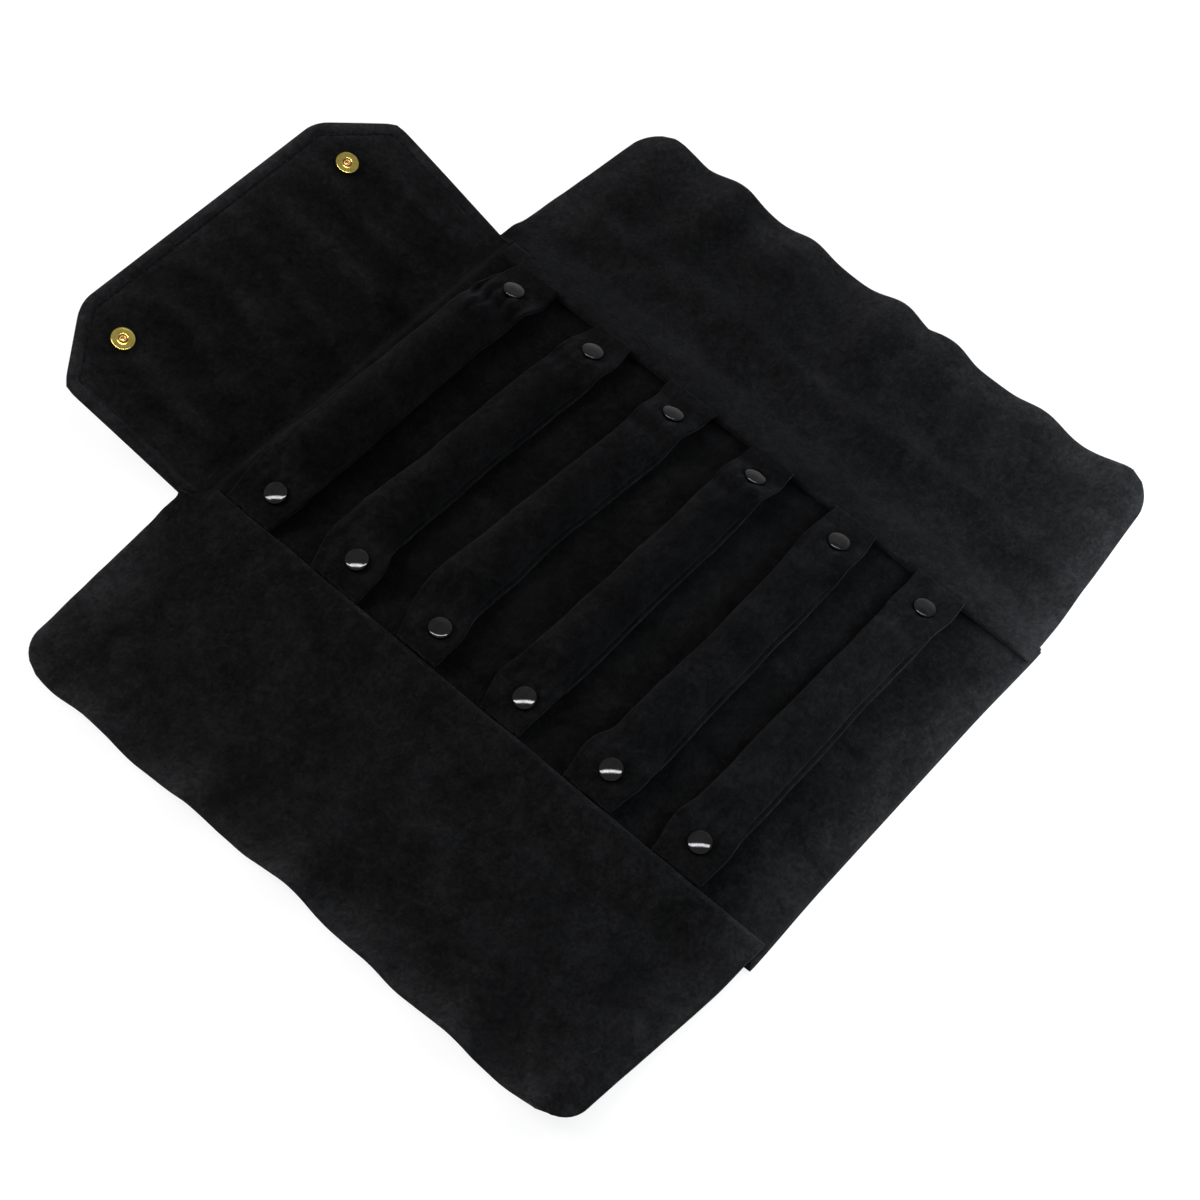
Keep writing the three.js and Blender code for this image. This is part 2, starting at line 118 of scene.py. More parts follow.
# Wings: hem, outline and rows of points
HEM_FOLD = 0.9 * MM
HEM_ALLOWANCE = 6.5 * MM
HEM_TURN_STEPS = 8
WING_ROWS = 176
WING_TAPER = 7 * MM
WING_CORNER = 14 * MM
SEAM_SHORT = 5 * MM
WING_STEP = {-1: mm(5.8, 6.9), 1: mm(7.4, 8.5)}
WING_FOOT = {-1: 2 * MM, 1: 3 * MM}
WING_HEAD = {-1: 0.5 * MM, 1: -2.5 * MM}
WING_SLIP = {-1: 0, 1: 1.2 * MM}
# Columns of the left wing's hem turn in a lighter suede: painted highlight where the edge catches light
WING_EDGE_HIGHLIGHT = {-1: range(11, 14), 1: ()}

# Wings: fall from the seam, waves, crease and slack
WING_DROP_RUN = 26 * MM
WING_LOOSE = 2.2 * MM
WING_WANDER = mm(5, 60)
WING_CRESTS = {
    -1: ((93, 4), (44, 5), (-6, 5), (-48, 2), (-92, 6), (-137, 8)),
    1: ((118, 4), (82, 7), (39, 5), (-11, 7), (-37, 6), (-91, 5), (-137, 9)),
}
CREST_WIDTH = 12 * MM
CREASE = {-1: 0, 1: 3.5 * MM}
CREASE_REACH = 46 * MM
CREASE_WANDER = mm(6, 70)
CREASE_WIDTH = 7 * MM
CREASE_PATCHES = [0.5, 50 * MM]
WING_SLACK = [mm(0.8, 32), mm(0.45, 11)]
GATHERS = mm(0.35, 6)
WING_RIM_WANDER = mm(0.7, 16)
WING_DRAWN_IN = {-1: ((-8, 42, 2.4), (142, 16, 2)), 1: ()}
WING_HEM_IN = 1.4 * MM
WING_HEM_WANDER = mm(0.5, 24)

# Flap: outline and rows of points
FLAP_TILT = radians(16)
FLAP_LENGTH = 94.2 * MM
CLIP_RUN = 23 * MM
CLIP_START = FLAP_LENGTH - CLIP_RUN
FREE_HALF = 69.2 * MM
FLAP_SIDES = {-1: mm(94.8, 99.4), 1: mm(97.2, 98.8)}
FLAP_CORNER = 0.8 * MM
FLAP_CORNER_REACH = 3 * MM
FLAP_ROOT = 3 * MM
FLAP_ROWS = (18, 40, 18)
FLAP_COLUMNS = 111
CROWDING = 0.96 * pi / 2
# Rows of the flap's fold in a darker suede: painted shade on the slope of the fold
FLAP_SHADED_ROWS = range(16)
TONGUE = 18 * MM
TONGUE_HALF = 86.4 * MM
COVER_START = 1.7 * MM
TONGUE_SLACK = mm(0.3, 12)

# Flap: arch, ripples, slack and sewn margin
FLAP_RISE = 0.4 * MM
FLAP_SNAP = mm(67, 71.5)
FLAP_DIMPLE = 0.8 * MM
RIPPLE = 0.8 * MM
RIPPLE_PITCH = 25 * MM
RIPPLE_WANDER = mm(6, 40)
FLAP_SLACK = mm(0.6, 22)
FLAP_CURL = mm(1.1, 55)
FLAP_STITCH = 5.5 * MM
PUFF = 0.8 * MM
FLAP_GROOVE = 0.65 * MM

# Rolls: tabs and tube
ROLLS = range(1, 7)
FAT_ROLL = 1
SNAP_X = centre("roll_1_right_cap").x
TAB_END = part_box("roll_2_cover")[1].x
TAB_RUN = 7 * MM
SWELL_RUN = 18 * MM
TAB_THICK = 2.2 * MM
TAB_BOTTOM = 10.4 * MM
TAB_DROOP = {-1: 2.8 * MM, 1: 0.8 * MM}
TAB_OVERHANG = 2 * MM
ROLL_STEP = 1.5 * MM
ROLL_POINTS = (32, 4, 22)
ROLL_RIDGE = 0.42
ROLL_SEAM = 0.16
ROLL_GAP = 0.55 * ROLL_PLY
ROLL_FIN = {True: 0.8 * MM, False: 1.8 * MM}
ROLL_SWELL = {True: (0.72, 1.5, 0.75), False: (0.62, 2.2, 0.66)}

# Reach of each roll's upper and lower edge from its row of snaps, in mm, at stations from left to right
ROLL_STATIONS = (-85.3, -70, -58, 0, 40, 58, 75, 87.3)
ROLL_EDGES = {
    1: ((15, 16.5, 17.5, 15, 14, 14, 12.5, 8), (8.5, 12, 10.5, 9.5, 9.5, 11, 14, 13.5)),
    2: ((13, 18, 18, 14.2, 13.2, 12.5, 11.5, 7), (12, 12, 6.5, 7.3, 9.3, 10.5, 11.8, 10)),
    3: ((11, 17, 19.5, 15.5, 13, 12.5, 12, 13), (9.3, 9.5, 6, 6.3, 9.3, 10.5, 11.6, 12.5)),
    4: ((11.5, 16, 14, 12.5, 12.5, 12.5, 12.5, 11), (8, 9.5, 9.3, 9, 9.3, 9.5, 10.5, 10)),
    5: ((13, 15.5, 11.5, 10.4, 11.2, 12.8, 13.2, 12), (10.5, 13.5, 13, 11.3, 11.3, 11.3, 11, 9)),
    6: ((12.5, 15.5, 13, 12.5, 12.5, 12.5, 13, 13.5), (11, 12.5, 11, 10.3, 9.5, 10, 11.5, 10.5)),
}
EDGE_SPAN = 5

# Rolls: gathers beside the snaps, slack and frayed ends
ROLL_CRUMPLE = {True: 1.2 * MM, False: 0.3 * MM}
ROLL_GATHER_PITCH = 6 * MM
ROLL_GATHER_WANDER = mm(4, 24)
CAP_RING = 0.7 * MM
CAP_RING_RADIUS = 8.6 * MM
CAP_RING_WIDTH = 2.2 * MM
ROLL_SLACK = [mm(0.7, 21), mm(0.3, 8)]
ROLL_FOLDS = mm(0.7, 8)
SIDE_WANDER = mm(0.5, 19)
FRAY = mm(0.5, 2.2)
CORE_PLY = 0.6 * MM

# Cloth simulation of the stuffed rolls
CLOTH_FRAMES = 14
CLOTH_REACH = 1.4 * MM
CLOTH = {
    "quality": 6,
    "mass": 0.08,
    "tension_stiffness": 18,
    "compression_stiffness": 18,
    "shear_stiffness": 6,
    "bending_stiffness": 0.3,
    "vertex_group_mass": "held",
    "pin_stiffness": 1,
    "use_pressure": True,
    "uniform_pressure_force": 3,
}

# Lean of each cap in degrees, outwards, left and right
CAP_LEAN = {1: (12, 17), 2: (8, 16), 3: (-1, 21), 4: (9, 23), 5: (11, 14), 6: (8, 13)}
CAP_SINK = {-1: 0.3 * MM, 1: 0.6 * MM}

# Turned outlines of the snaps, as radius and height in mm
AXIS = 0.02
CAP_POST_TIP = {"roll": -3.1, "flap": -3.2}
CAP_UNDER = [(1.3, 0.2), (4.6, 0.2), (5.0, 0.45)]
CAP_RIM = [(5.0, 1.2), (4.94, 1.55), (4.77, 1.83), (4.5, 2.0)]
CAP_TOP = 2.6
CAP_STEPS = 8
SOCKET_OUTLINE = [
    (1.5, -0.2), (1.5, -0.6), (2.2, -0.6), (2.2, -2.2), (2.0, -2.6), (2.2, -3.1), (2.7, -3.2), (3.1, -3.0),
    (3.4, -1.6), (3.8, -1.1), (4.3, -1.0), (4.7, -0.9), (4.8, -0.6), (4.7, -0.2), (1.5, -0.2),
]
SOCKET_CORNER = 0.25
DISC_OUTLINE = [
    (1.7, 0.0), (5.0, 0.0), (5.2, 0.3), (5.2, 0.7), (5.0, 0.95), (4.7, 1.0), (4.3, 0.95), (2.7, 0.95),
    (2.4, 1.05), (2.1, 1.0), (1.8, 0.8), (1.7, 0.0),
]
DISC_CORNER = 0.22
STUD_OUTLINE = [
    (AXIS, -1.8), (4.0, -1.8), (4.0, -1.4), (1.3, -1.4), (1.3, 0.2), (4.5, 0.2), (4.5, 0.6), (4.1, 0.8),
    (2.1, 0.8), (1.5, 1.1), (1.9, 2.1), (1.8, 2.5), (1.4, 2.8), (0.9, 2.8), (0.7, 2.4), (AXIS, 2.3),
]
STUD_CORNER = 0.2
BARREL_OUTLINE = [
    (AXIS, 0.1), (1.65, 0.1), (1.65, 0.6), (1.5, 1.0), (1.1, 1.15), (0.8, 1.0), (0.6, 0.55), (AXIS, 0.5),
]
CAP_SEGMENTS = 48
SNAP_SEGMENTS = 32
SAME_POINT = 0.001 * MM

# Thread
STITCH_PITCH = 3.4 * MM
STITCH_LENGTH = 2.5 * MM
STITCH_RADIUS = 0.24 * MM
STITCH_RINGS = 6
STITCH_SEGMENTS = 6

# Seeds of the lumps
WING_SEED = 20
FLAP_SEED = 40


def smooth(start, end, value):
    share = np.clip((value - start) / (end - start), 0, 1)
    return share * share * (3 - 2 * share)


def fade(start, end, value):
    """A smooth step over a stretch given in mm."""
    return smooth(start * MM, end * MM, value)


def bell(off, width):
    return np.exp(-((off / width) ** 2))


def mix(a, b, share):
    return a + (b - a) * share


def unit(vectors):
    return vectors / np.maximum(np.linalg.norm(vectors, axis=-1, keepdims=True), 1e-12)


def lumps(points, layers, seed):
    """Soft noise, the same each run, summed over layers of lumps that each have a height and a size."""
    points = np.asarray(points, float)
    total = 0
    for number, (height, size) in enumerate(layers):
        flat = points.reshape(-1, 3) / size + (seed + number) * 17.3
        values = [noise.noise(Vector(p)) for p in flat]
        total = total + height * np.array(values).reshape(points.shape[:-1])
    return total


# Materials


def set_inputs(node, values):
    for name, value in values.items():
        node.inputs[name].default_value = value


def link(source, target):
    source.id_data.links.new(source, target)


def new_material(name):
    material = bpy.data.materials.new(name)
    material.use_nodes = True
    tree = material.node_tree
    return material, tree, tree.nodes["Principled BSDF"]


def place_of(tree, stretch=(1, 1, 1)):
    coordinates = tree.nodes.new("ShaderNodeTexCoord")
    mapping = tree.nodes.new("ShaderNodeMapping")
    set_inputs(mapping, {"Scale": stretch})
    link(coordinates.outputs["Object"], mapping.inputs["Vector"])
    return mapping.outputs["Vector"]


def noise_of(tree, place, scale, detail=3, roughness=0.5, distortion=0):
    node = tree.nodes.new("ShaderNodeTexNoise")
    set_inputs(node, {"Scale": scale, "Detail": detail, "Roughness": roughness, "Distortion": distortion})
    link(place, node.inputs["Vector"])
    return node.outputs["Fac"]


def maths(tree, operation, *terms):
    """The result of a math node whose inputs are sockets or numbers."""
    node = tree.nodes.new("ShaderNodeMath")
    node.operation = operation
    for slot, term in zip(node.inputs, terms):
        if isinstance(term, (int, float)):
            slot.default_value = term
        else:
            link(term, slot)
    return node.outputs[0]


def weighted(tree, terms):
    """The sum of sockets times weights."""
    total = 0
    for socket, weight in terms:
        total = maths(tree, "MULTIPLY_ADD", socket, weight, total)
    return total


def ramp_of(tree, factor, stops):
    node = tree.nodes.new("ShaderNodeValToRGB")
    elements = node.color_ramp.elements
    while len(elements) < len(stops):
        elements.new(0.5)
    for element, (position, colour) in zip(elements, stops):
        element.position = position
        element.color = (*colour, 1)
    link(factor, node.inputs["Fac"])
    return node.outputs["Color"]


def spread_of(tree, factor, low, high):
    """The usual span of a noise, stretched between two values."""
    node = tree.nodes.new("ShaderNodeMapRange")
    set_inputs(node, {"From Min": 0.3, "From Max": 0.7, "To Min": low, "To Max": high})
    link(factor, node.inputs["Value"])
    return node.outputs["Result"]


def bump_on(tree, shader, height, strength, distance):
    node = tree.nodes.new("ShaderNodeBump")
    set_inputs(node, {"Strength": strength, "Distance": distance})
    link(height, node.inputs["Height"])
    link(node.outputs["Normal"], shader.inputs["Normal"])


def with_painted_glow(tree, colour):
    """A colour, lighter by a painted highlight where the painted glow attribute is set."""
    painted_glow = tree.nodes.new("ShaderNodeAttribute")
    painted_glow.attribute_name = "painted_glow"
    lighter = tree.nodes.new("ShaderNodeVectorMath")
    lighter.operation = "SCALE"
    link(colour, lighter.inputs[0])
    gain = maths(tree, "MULTIPLY_ADD", painted_glow.outputs["Fac"], PAINTED_GLOW_GAIN, 1)
    link(gain, lighter.inputs["Scale"])
    return lighter.outputs[0]


def suede(name, tone, seed):
    """Black suede, slightly blue: brushed patches, blotches of the nap inside them, and fibres."""
    shades = [tuple(tone * share * tint for tint in (1, 1, 1.05)) for share in (0.55, 1, 1.8)]
    material, tree, shader = new_material(name)
    shift = tree.nodes.new("ShaderNodeVectorMath")
    shift.inputs[1].default_value = (seed, seed * 0.7, seed * 0.3)
    link(place_of(tree), shift.inputs[0])
    place = shift.outputs[0]
    patches = noise_of(tree, place, 55, 6, 0.62, 0.5)
    blotches = noise_of(tree, place, 260, 4, 0.62, 0.4)
    grain = noise_of(tree, place, 620, 3, 0.6)
    fibres = noise_of(tree, place, 1700, 3, 0.65)
    nap = weighted(tree, [(patches, 0.3), (blotches, 0.24), (grain, 0.26), (fibres, 0.2)])
    colour = ramp_of(tree, nap, list(zip((0.41, 0.5, 0.60), shades)))
    # Painted highlight: the suede is lighter where the painted glow attribute is set
    link(with_painted_glow(tree, colour), shader.inputs["Base Color"])
    link(spread_of(tree, nap, 1.0, 0.85), shader.inputs["Roughness"])
    set_inputs(shader, {
        "Specular IOR Level": 0,
        "Sheen Weight": 0.05,
        "Sheen Roughness": 0.45,
        "Sheen Tint": (0.42, 0.43, 0.47, 1),
    })
    relief = weighted(tree, [(fibres, 0.5), (grain, 0.7), (blotches, 0.8)])
    bump_on(tree, shader, relief, 0.6, 0.7 * MM)
    return material


def metal(name, dull, clean, rough, smudge):
    """Plated metal with smudges that change its gloss and hairline scratches."""
    material, tree, shader = new_material(name)
    smears = noise_of(tree, place_of(tree), 420, 4, 0.6, 0.8)
    scratches = noise_of(tree, place_of(tree, (1, 9, 1)), 900, 3, 0.7)
    wear_and_painted_light = weighted(tree, [(smears, 0.7), (scratches, 0.3)])
    link(ramp_of(tree, wear_and_painted_light, [(0.35, dull), (0.6, clean)]), shader.inputs["Base Color"])
    link(spread_of(tree, wear_and_painted_light, rough + smudge, rough), shader.inputs["Roughness"])
    set_inputs(shader, {"Metallic": 1})
    bump_on(tree, shader, scratches, 0.06, 0.1 * MM)
    return material


def wool(name, dark, light, fibre_scale):
    """Felt or stuffing: matted fibres."""
    material, tree, shader = new_material(name)
    tufts = noise_of(tree, place_of(tree), fibre_scale / 6, 4, 0.6, 0.5)
    fibres = noise_of(tree, place_of(tree, (1, 0.2, 1)), fibre_scale, 3, 0.7, 1.5)
    matted = weighted(tree, [(tufts, 0.5), (fibres, 0.5)])
    colour = ramp_of(tree, matted, [(0.35, dark), (0.65, light)])
    link(colour, shader.inputs["Base Color"])
    set_inputs(shader, {"Roughness": 0.95})
    bump_on(tree, shader, matted, 0.8, 0.6 * MM)
    return material


def thread_material():
    """Black polyester thread with a twist."""
    material, tree, shader = new_material("thread")
    twist = tree.nodes.new("ShaderNodeTexWave")
    twist.bands_direction = "DIAGONAL"
    set_inputs(twist, {"Scale": 900, "Distortion": 1.5})
    link(place_of(tree), twist.inputs["Vector"])
    strands = twist.outputs["Fac"]
    colour = ramp_of(tree, strands, [(0.2, (0.0014, 0.0014, 0.0016)), (0.8, (0.0058, 0.0058, 0.0064))])
    link(colour, shader.inputs["Base Color"])
    set_inputs(shader, {"Roughness": 0.75, "Specular IOR Level": 0.02})
    bump_on(tree, shader, strands, 0.4, 0.1 * MM)
    return material


# Darker copy of the suede for the spine's lining: painted shade between the rolls
SHADED_LINING = suede("lining_suede", 0.0031, seed=0.0)
FLAP_LINING = suede("flap_suede", 0.0038, seed=0.0)
COVER = suede("cover_suede", 0.0042, seed=3.1)
WING = suede("wing_suede", 0.0041, seed=5.7)
ROLL = suede("roll_suede", 0.0031, seed=8.3)
# Lighter suede for the edges of rolls and the left hem: painted highlight
EDGE_HIGHLIGHT = suede("edge_highlight_suede", 0.0053, seed=1.9)
# Darker suede for the flap's fold: painted shade
FOLD_SHADE = suede("fold_shade_suede", 0.0026, seed=0.0)
THREAD = thread_material()
FELT = wool("felt", (0.02, 0.02, 0.021), (0.09, 0.09, 0.095), fibre_scale=2200)
STUFFING = wool("stuffing", (0.5, 0.48, 0.44), (0.82, 0.8, 0.75), fibre_scale=1500)
NICKEL = metal("black_nickel", (0.011, 0.011, 0.0115), (0.017, 0.017, 0.0175), rough=0.04, smudge=0.06)
BRASS = metal("brass", (0.17, 0.132, 0.032), (0.26, 0.206, 0.052), rough=0.13, smudge=0.05)
COPPER = metal("copper_barrel", (0.20, 0.095, 0.034), (0.34, 0.17, 0.066), rough=0.3, smudge=0.15)


# Mesh builders


def add(name, data):
    made = bpy.data.objects.new(name, data)
    bpy.context.scene.collection.objects.link(made)
    return made


def piece(name, points, faces, material):
    mesh = bpy.data.meshes.new(name)
    mesh.from_pydata(np.asarray(points, float).tolist(), [], faces)
    mesh.polygons.foreach_set("use_smooth", [True] * len(mesh.polygons))
    mesh.materials.append(material)
    return add(name, mesh)


def stand_for(made, node, body):
    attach(made, body)
    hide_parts(node)


def flat_grid(low, high, columns, rows):
    """Points spread over a box in X and Y, at no height."""
    grid = np.zeros((columns, rows, 3))
    grid[..., 0] = np.linspace(low.x, high.x, columns)[:, None]
    grid[..., 1] = np.linspace(low.y, high.y, rows)[None, :]
    return grid


def cells(columns, rows, closed):
    """Column, row and corner points of each cell of a grid."""
    for i in range(columns - 1):
        for j in range(rows if closed else rows - 1):
            k = (j + 1) % rows
            yield i, j, (i * rows + j, (i + 1) * rows + j, (i + 1) * rows + k, i * rows + k)


def tour(columns, rows, closed):
    """The edge points of a grid, anticlockwise as seen from its upper side."""
    if closed:
        last = [(columns - 1, j) for j in range(rows)]
        first = [(0, j) for j in reversed(range(rows))]
        return [last, first]
    low = [(i, 0) for i in range(columns - 1)]
    right = [(columns - 1, j) for j in range(rows - 1)]
    high = [(i, rows - 1) for i in range(columns - 1, 0, -1)]
    left = [(0, j) for j in range(rows - 1, 0, -1)]
    return [low + right + high + left]


def ply(
    name, grid, thickness, material, closed=False, painted_rows=(), painted_columns=(), painted_light=EDGE_HIGHLIGHT, painted_glow=None,
):
    """A sheet of cloth with a rounded cut edge, from a grid of points along its middle.

    Rows and columns may take a second material of painted light, lighter for a highlight and darker for
    shade, which the cut edge then has too, and the points may carry a painted glow.
    """
    columns, rows = grid.shape[:2]
    around = grid
    if closed:
        around = np.concatenate([grid[:, -1:], grid, grid[:, :1]], axis=1)
    across = np.gradient(around, axis=1)
    if closed:
        across = across[:, 1:-1]
    normal = unit(np.cross(np.gradient(grid, axis=0), across))
    upper = (grid + normal * thickness / 2).reshape(-1, 3)
    lower = (grid - normal * thickness / 2).reshape(-1, 3)
    under = columns * rows
    faces, wear_and_painted_light = [], []
    for i, j, corners in cells(columns, rows, closed):
        faces.append(corners)
        faces.append(tuple(under + corner for corner in reversed(corners)))
        wear_and_painted_light += [int(j in painted_rows or i in painted_columns)] * 2
    rim = []
    loops = tour(columns, rows, closed)
    for loop in loops:
        start = 2 * under + len(rim)
        for i, j in loop:
            inner = grid[min(max(i, 1), columns - 2), j if closed else min(max(j, 1), rows - 2)]
            outward = unit(grid[i, j] - inner)
            rim.append(grid[i, j] + outward * thickness * EDGE_ROUND)
        for n, (i, j) in enumerate(loop):
            m = (n + 1) % len(loop)
            here, there = i * rows + j, loop[m][0] * rows + loop[m][1]
            faces.append((here, start + n, start + m, there))
            faces.append((start + n, under + here, under + there, start + m))
    made = piece(name, np.concatenate([upper, lower, np.array(rim)]), faces, material)
    if any(wear_and_painted_light):
        made.data.materials.append(painted_light)
        wear_and_painted_light += [1] * (len(faces) - len(wear_and_painted_light))
        made.data.polygons.foreach_set("material_index", wear_and_painted_light)
    if painted_glow is not None:
        on_rim = [painted_glow[i, j] for loop in loops for i, j in loop]
        shares = np.concatenate([painted_glow.reshape(-1), painted_glow.reshape(-1), on_rim])
        made.data.attributes.new("painted_glow", "FLOAT", "POINT").data.foreach_set("value", shares)
    return made


def painted_edge_glow(edge):
    """Painted glow by the distance from an outer edge: a painted highlight near the edge and a fainter
    halo further in.
    """
    rim = 0.6 * np.exp(-np.maximum(edge, 0) / (3.5 * MM))
    return rim + 0.4 * (1 - fade(4, 26, edge))


def ring_faces(first, rings, segments, closed=False):
    """Faces round a stack of rings, with a lid at each end unless the last ring meets the first."""
    faces = []
    for ring in range(rings if closed else rings - 1):
        here, there = first + ring * segments, first + (ring + 1) % rings * segments
        for side in range(segments):
            after = (side + 1) % segments
            faces.append((here + side, here + after, there + after, there + side))
    if not closed:
        faces.append(tuple(first + side for side in reversed(range(segments))))
        faces.append(tuple(first + (rings - 1) * segments + side for side in range(segments)))
    return faces


def lathe(name, profile, material, segments, turn):
    """A turned piece from radius and height pairs, with a hole if its profile ends where it starts."""
    holed = profile[0] == profile[-1]
    rings = profile[:-1] if holed else profile
    points = []
    for radius, height in rings:
        for side in range(segments):
            angle = 2 * pi * side / segments
            points.append((radius * cos(angle), radius * sin(angle), height))
    made = piece(name, points, ring_faces(0, len(rings), segments, closed=holed), material)
    made.data.transform(turn)
    return made


def in_metres(outline):
    return [(radius * MM, height * MM) for radius, height in outline]


def rounded(outline, radius, steps=3):
    """The profile in metres of an outline in mm, with each inner corner rounded off."""
    points = [Vector(p) for p in in_metres(outline)]
    result = [points[0]]
    for before, corner, after in zip(points, points[1:], points[2:]):
        reach = min(radius * MM, (before - corner).length / 2, (after - corner).length / 2)
        start = corner + (before - corner).normalized() * reach
        end = corner + (after - corner).normalized() * reach
        for step in range(steps + 1):
            t = step / steps
            bend = start * (1 - t) ** 2 + corner * 2 * t * (1 - t) + end * t * t
            if (bend - result[-1]).length > SAME_POINT:
                result.append(bend)
    result.append(points[-1])
    return [tuple(p) for p in result]


def stitches(name, line, up):
    """Sewn stitches, each a short sunk bead, along a line of points."""
    line = np.asarray(line, float)
    lengths = np.concatenate([[0], np.cumsum(np.linalg.norm(np.diff(line, axis=0), axis=1))])
    count = max(int(lengths[-1] / STITCH_PITCH), 1)
    points, faces = [], []
    for n in range(count):
        middle = (n + 0.5) / count * lengths[-1]
        ends = [middle - STITCH_LENGTH / 2, middle + STITCH_LENGTH / 2]
        a, b = (np.array([np.interp(end, lengths, line[:, k]) for k in range(3)]) for end in ends)
        along = unit(b - a)
        across = unit(np.cross(up, along))
        lift = np.cross(along, across)
        faces += ring_faces(len(points), STITCH_RINGS, STITCH_SEGMENTS)
        for share in np.linspace(0, 1, STITCH_RINGS):
            arch = sin(pi * share)
            radius = STITCH_RADIUS * max(arch, 0.15) ** 0.5
            middle = mix(a, b, share) + lift * STITCH_RADIUS * (arch - 0.55)
            for side in range(STITCH_SEGMENTS):
                angle = 2 * pi * side / STITCH_SEGMENTS
                points.append(middle + radius * (across * cos(angle) + lift * sin(angle)))
    return piece(name, points, faces, THREAD)


# Camera, lights and floor


def look_from(place, back, up):
    back, up = Vector(back).normalized(), Vector(up)
    right = up.cross(back).normalized()
    turned = Matrix((right, back.cross(right), back)).transposed().to_4x4()
    return Matrix.Translation(place) @ turned


def make_camera():
    data = bpy.data.cameras.new("camera")
    data.sensor_width, data.lens = SENSOR, CAMERA_LENS
    data.clip_start, data.clip_end = 0.01, 50
    camera = add("camera", data)
    camera.matrix_world = look_from(CAMERA_PLACE, CAMERA_BACK, CAMERA_UP)
    bpy.context.scene.camera = camera


def softbox(
    name, place, size, power, mirrored=False, up=(0.3, 1, 0.2), aim=(0, 0, 0), colour=(1, 1, 1),
):
    """A lamp aimed at a point, which lights the cloth or, if mirrored, only shows in the metal."""
    data = bpy.data.lights.new(name, "AREA")
    data.shape, data.size, data.size_y, data.energy = "RECTANGLE", size[0], size[1], power
    data.color = colour
    lamp = add(name, data)
    lamp.matrix_world = look_from(place, Vector(place) - Vector(aim), up)
    lamp.visible_diffuse, lamp.visible_glossy, lamp.visible_camera = not mirrored, mirrored, False


def seen_directly(tree):
    """One for rays that show the background itself: from the camera, mirrored or let through."""
    path = tree.nodes.new("ShaderNodeLightPath")
    total = path.outputs["Is Camera Ray"]
    for ray in ("Is Glossy Ray", "Is Transmission Ray"):
        total = maths(tree, "MAXIMUM", total, path.outputs[ray])
    return total


def blended(tree, factor, first, second):
    node = tree.nodes.new("ShaderNodeMixShader")
    link(factor, node.inputs["Fac"])
    link(first.outputs[0], node.inputs[1])
    link(second.outputs[0], node.inputs[2])
    return node.outputs[0]


def make_world():
    world = bpy.data.worlds.new("studio")
    bpy.context.scene.world = world
    world.use_nodes = True
    tree = world.node_tree
    ambient = tree.nodes["Background"]
    set_inputs(ambient, {"Color": (0.96, 0.98, 1, 1), "Strength": 0.55})
    white = tree.nodes.new("ShaderNodeBackground")
    set_inputs(white, {"Color": (1, 1, 1, 1), "Strength": 1})
    chosen = blended(tree, seen_directly(tree), ambient, white)
    link(chosen, tree.nodes["World Output"].inputs["Surface"])


def make_floor():
    material, tree, shader = new_material("white_floor")
    set_inputs(shader, {"Base Color": FLOOR_GREY, "Roughness": 0.9, "Specular IOR Level": 0.1})
    glow = tree.nodes.new("ShaderNodeEmission")
    set_inputs(glow, {"Strength": 1})
    share = maths(tree, "MULTIPLY", seen_directly(tree), 0.85)
    chosen = blended(tree, share, shader, glow)
    link(chosen, tree.nodes["Material Output"].inputs["Surface"])
    corners = [(-1, -1), (1, -1), (1, 1), (-1, 1)]
    points = [(x * FLOOR_REACH, y * FLOOR_REACH, -0.2 * MM) for x, y in corners]
    piece("floor", points, [(0, 1, 2, 3)], material)


def make_lamps():
    softbox("window", (-0.6, 2.0, 1.1), (1.6, 1.2), 74)
    softbox("far_wall", (1.9, 1.1, 1.1), (2.0, 1.4), 17)
    softbox("side_wall", (1.4, -1.6, 0.9), (1.4, 1.2), 8)
    softbox("near_glow", (0.44, -0.26, 0.30), (0.4, 0.4), 0.8, colour=GLARE)
    softbox(
        "edge_glow", (0.15, -0.20, 0.11), (0.42, 0.12), 0.92,
        up=(0, 1, 0), aim=(0.15, -0.19, 0), colour=GLARE,
    )
    softbox("strip", (-0.22, 0.21, 1.5), (2.4, 0.19), 73, mirrored=True, up=(0.783, 0.623, 0))
    softbox("far_card", (1.90, 0.545, 0.964), (2.15, 1.69), 4.5, mirrored=True, up=(0, 0, 1))


# Spine


def edge_profile(low, high):
    """Positions across a padded panel with turned edges, and the height of each of them."""
    foot, top = SPINE_LOW.z, SPINE_HIGH.z - PLY / 2
    lip = foot + PAD_LIP
    places = [0, WALL_MIDDLE[0] * WALL_LEAN, WALL_LEAN]
    heights = [foot + PLY / 2, mix(foot, lip, WALL_MIDDLE[1]), lip]
    for step in range(1, PAD_STEPS + 1):
        angle = step / PAD_STEPS * pi / 2
        places.append(WALL_LEAN + PAD_ROUND * (1 - cos(angle)))
        heights.append(mix(lip, top, sin(angle)))
    side = PLY / 2 + np.array(places)
    count = int((high - low) / SPINE_STEP)
    inside = np.linspace(low + side[-1], high - side[-1], count + 2)[1:-1]
    at = np.concatenate([low + side, inside, (high - side)[::-1]])
    rise = np.concatenate([heights, np.full(count, top), heights[::-1]])
    return at, rise


def spread_hem(grid):
    """The spine's lower hem pulled down and to the right a little, most at its corners."""
    share = 1 - fade(0, 30, grid[..., 1:2] - SPINE_LOW.y)
    corner = smooth(0.5, 1, abs(grid[..., 0:1]) / SPINE_HIGH.x)
    pull = np.concatenate([HEM_SIDE_PULL * corner, -mix(*HEM_DOWN_PULL, corner), 0 * corner], axis=-1)
    return grid + share * pull


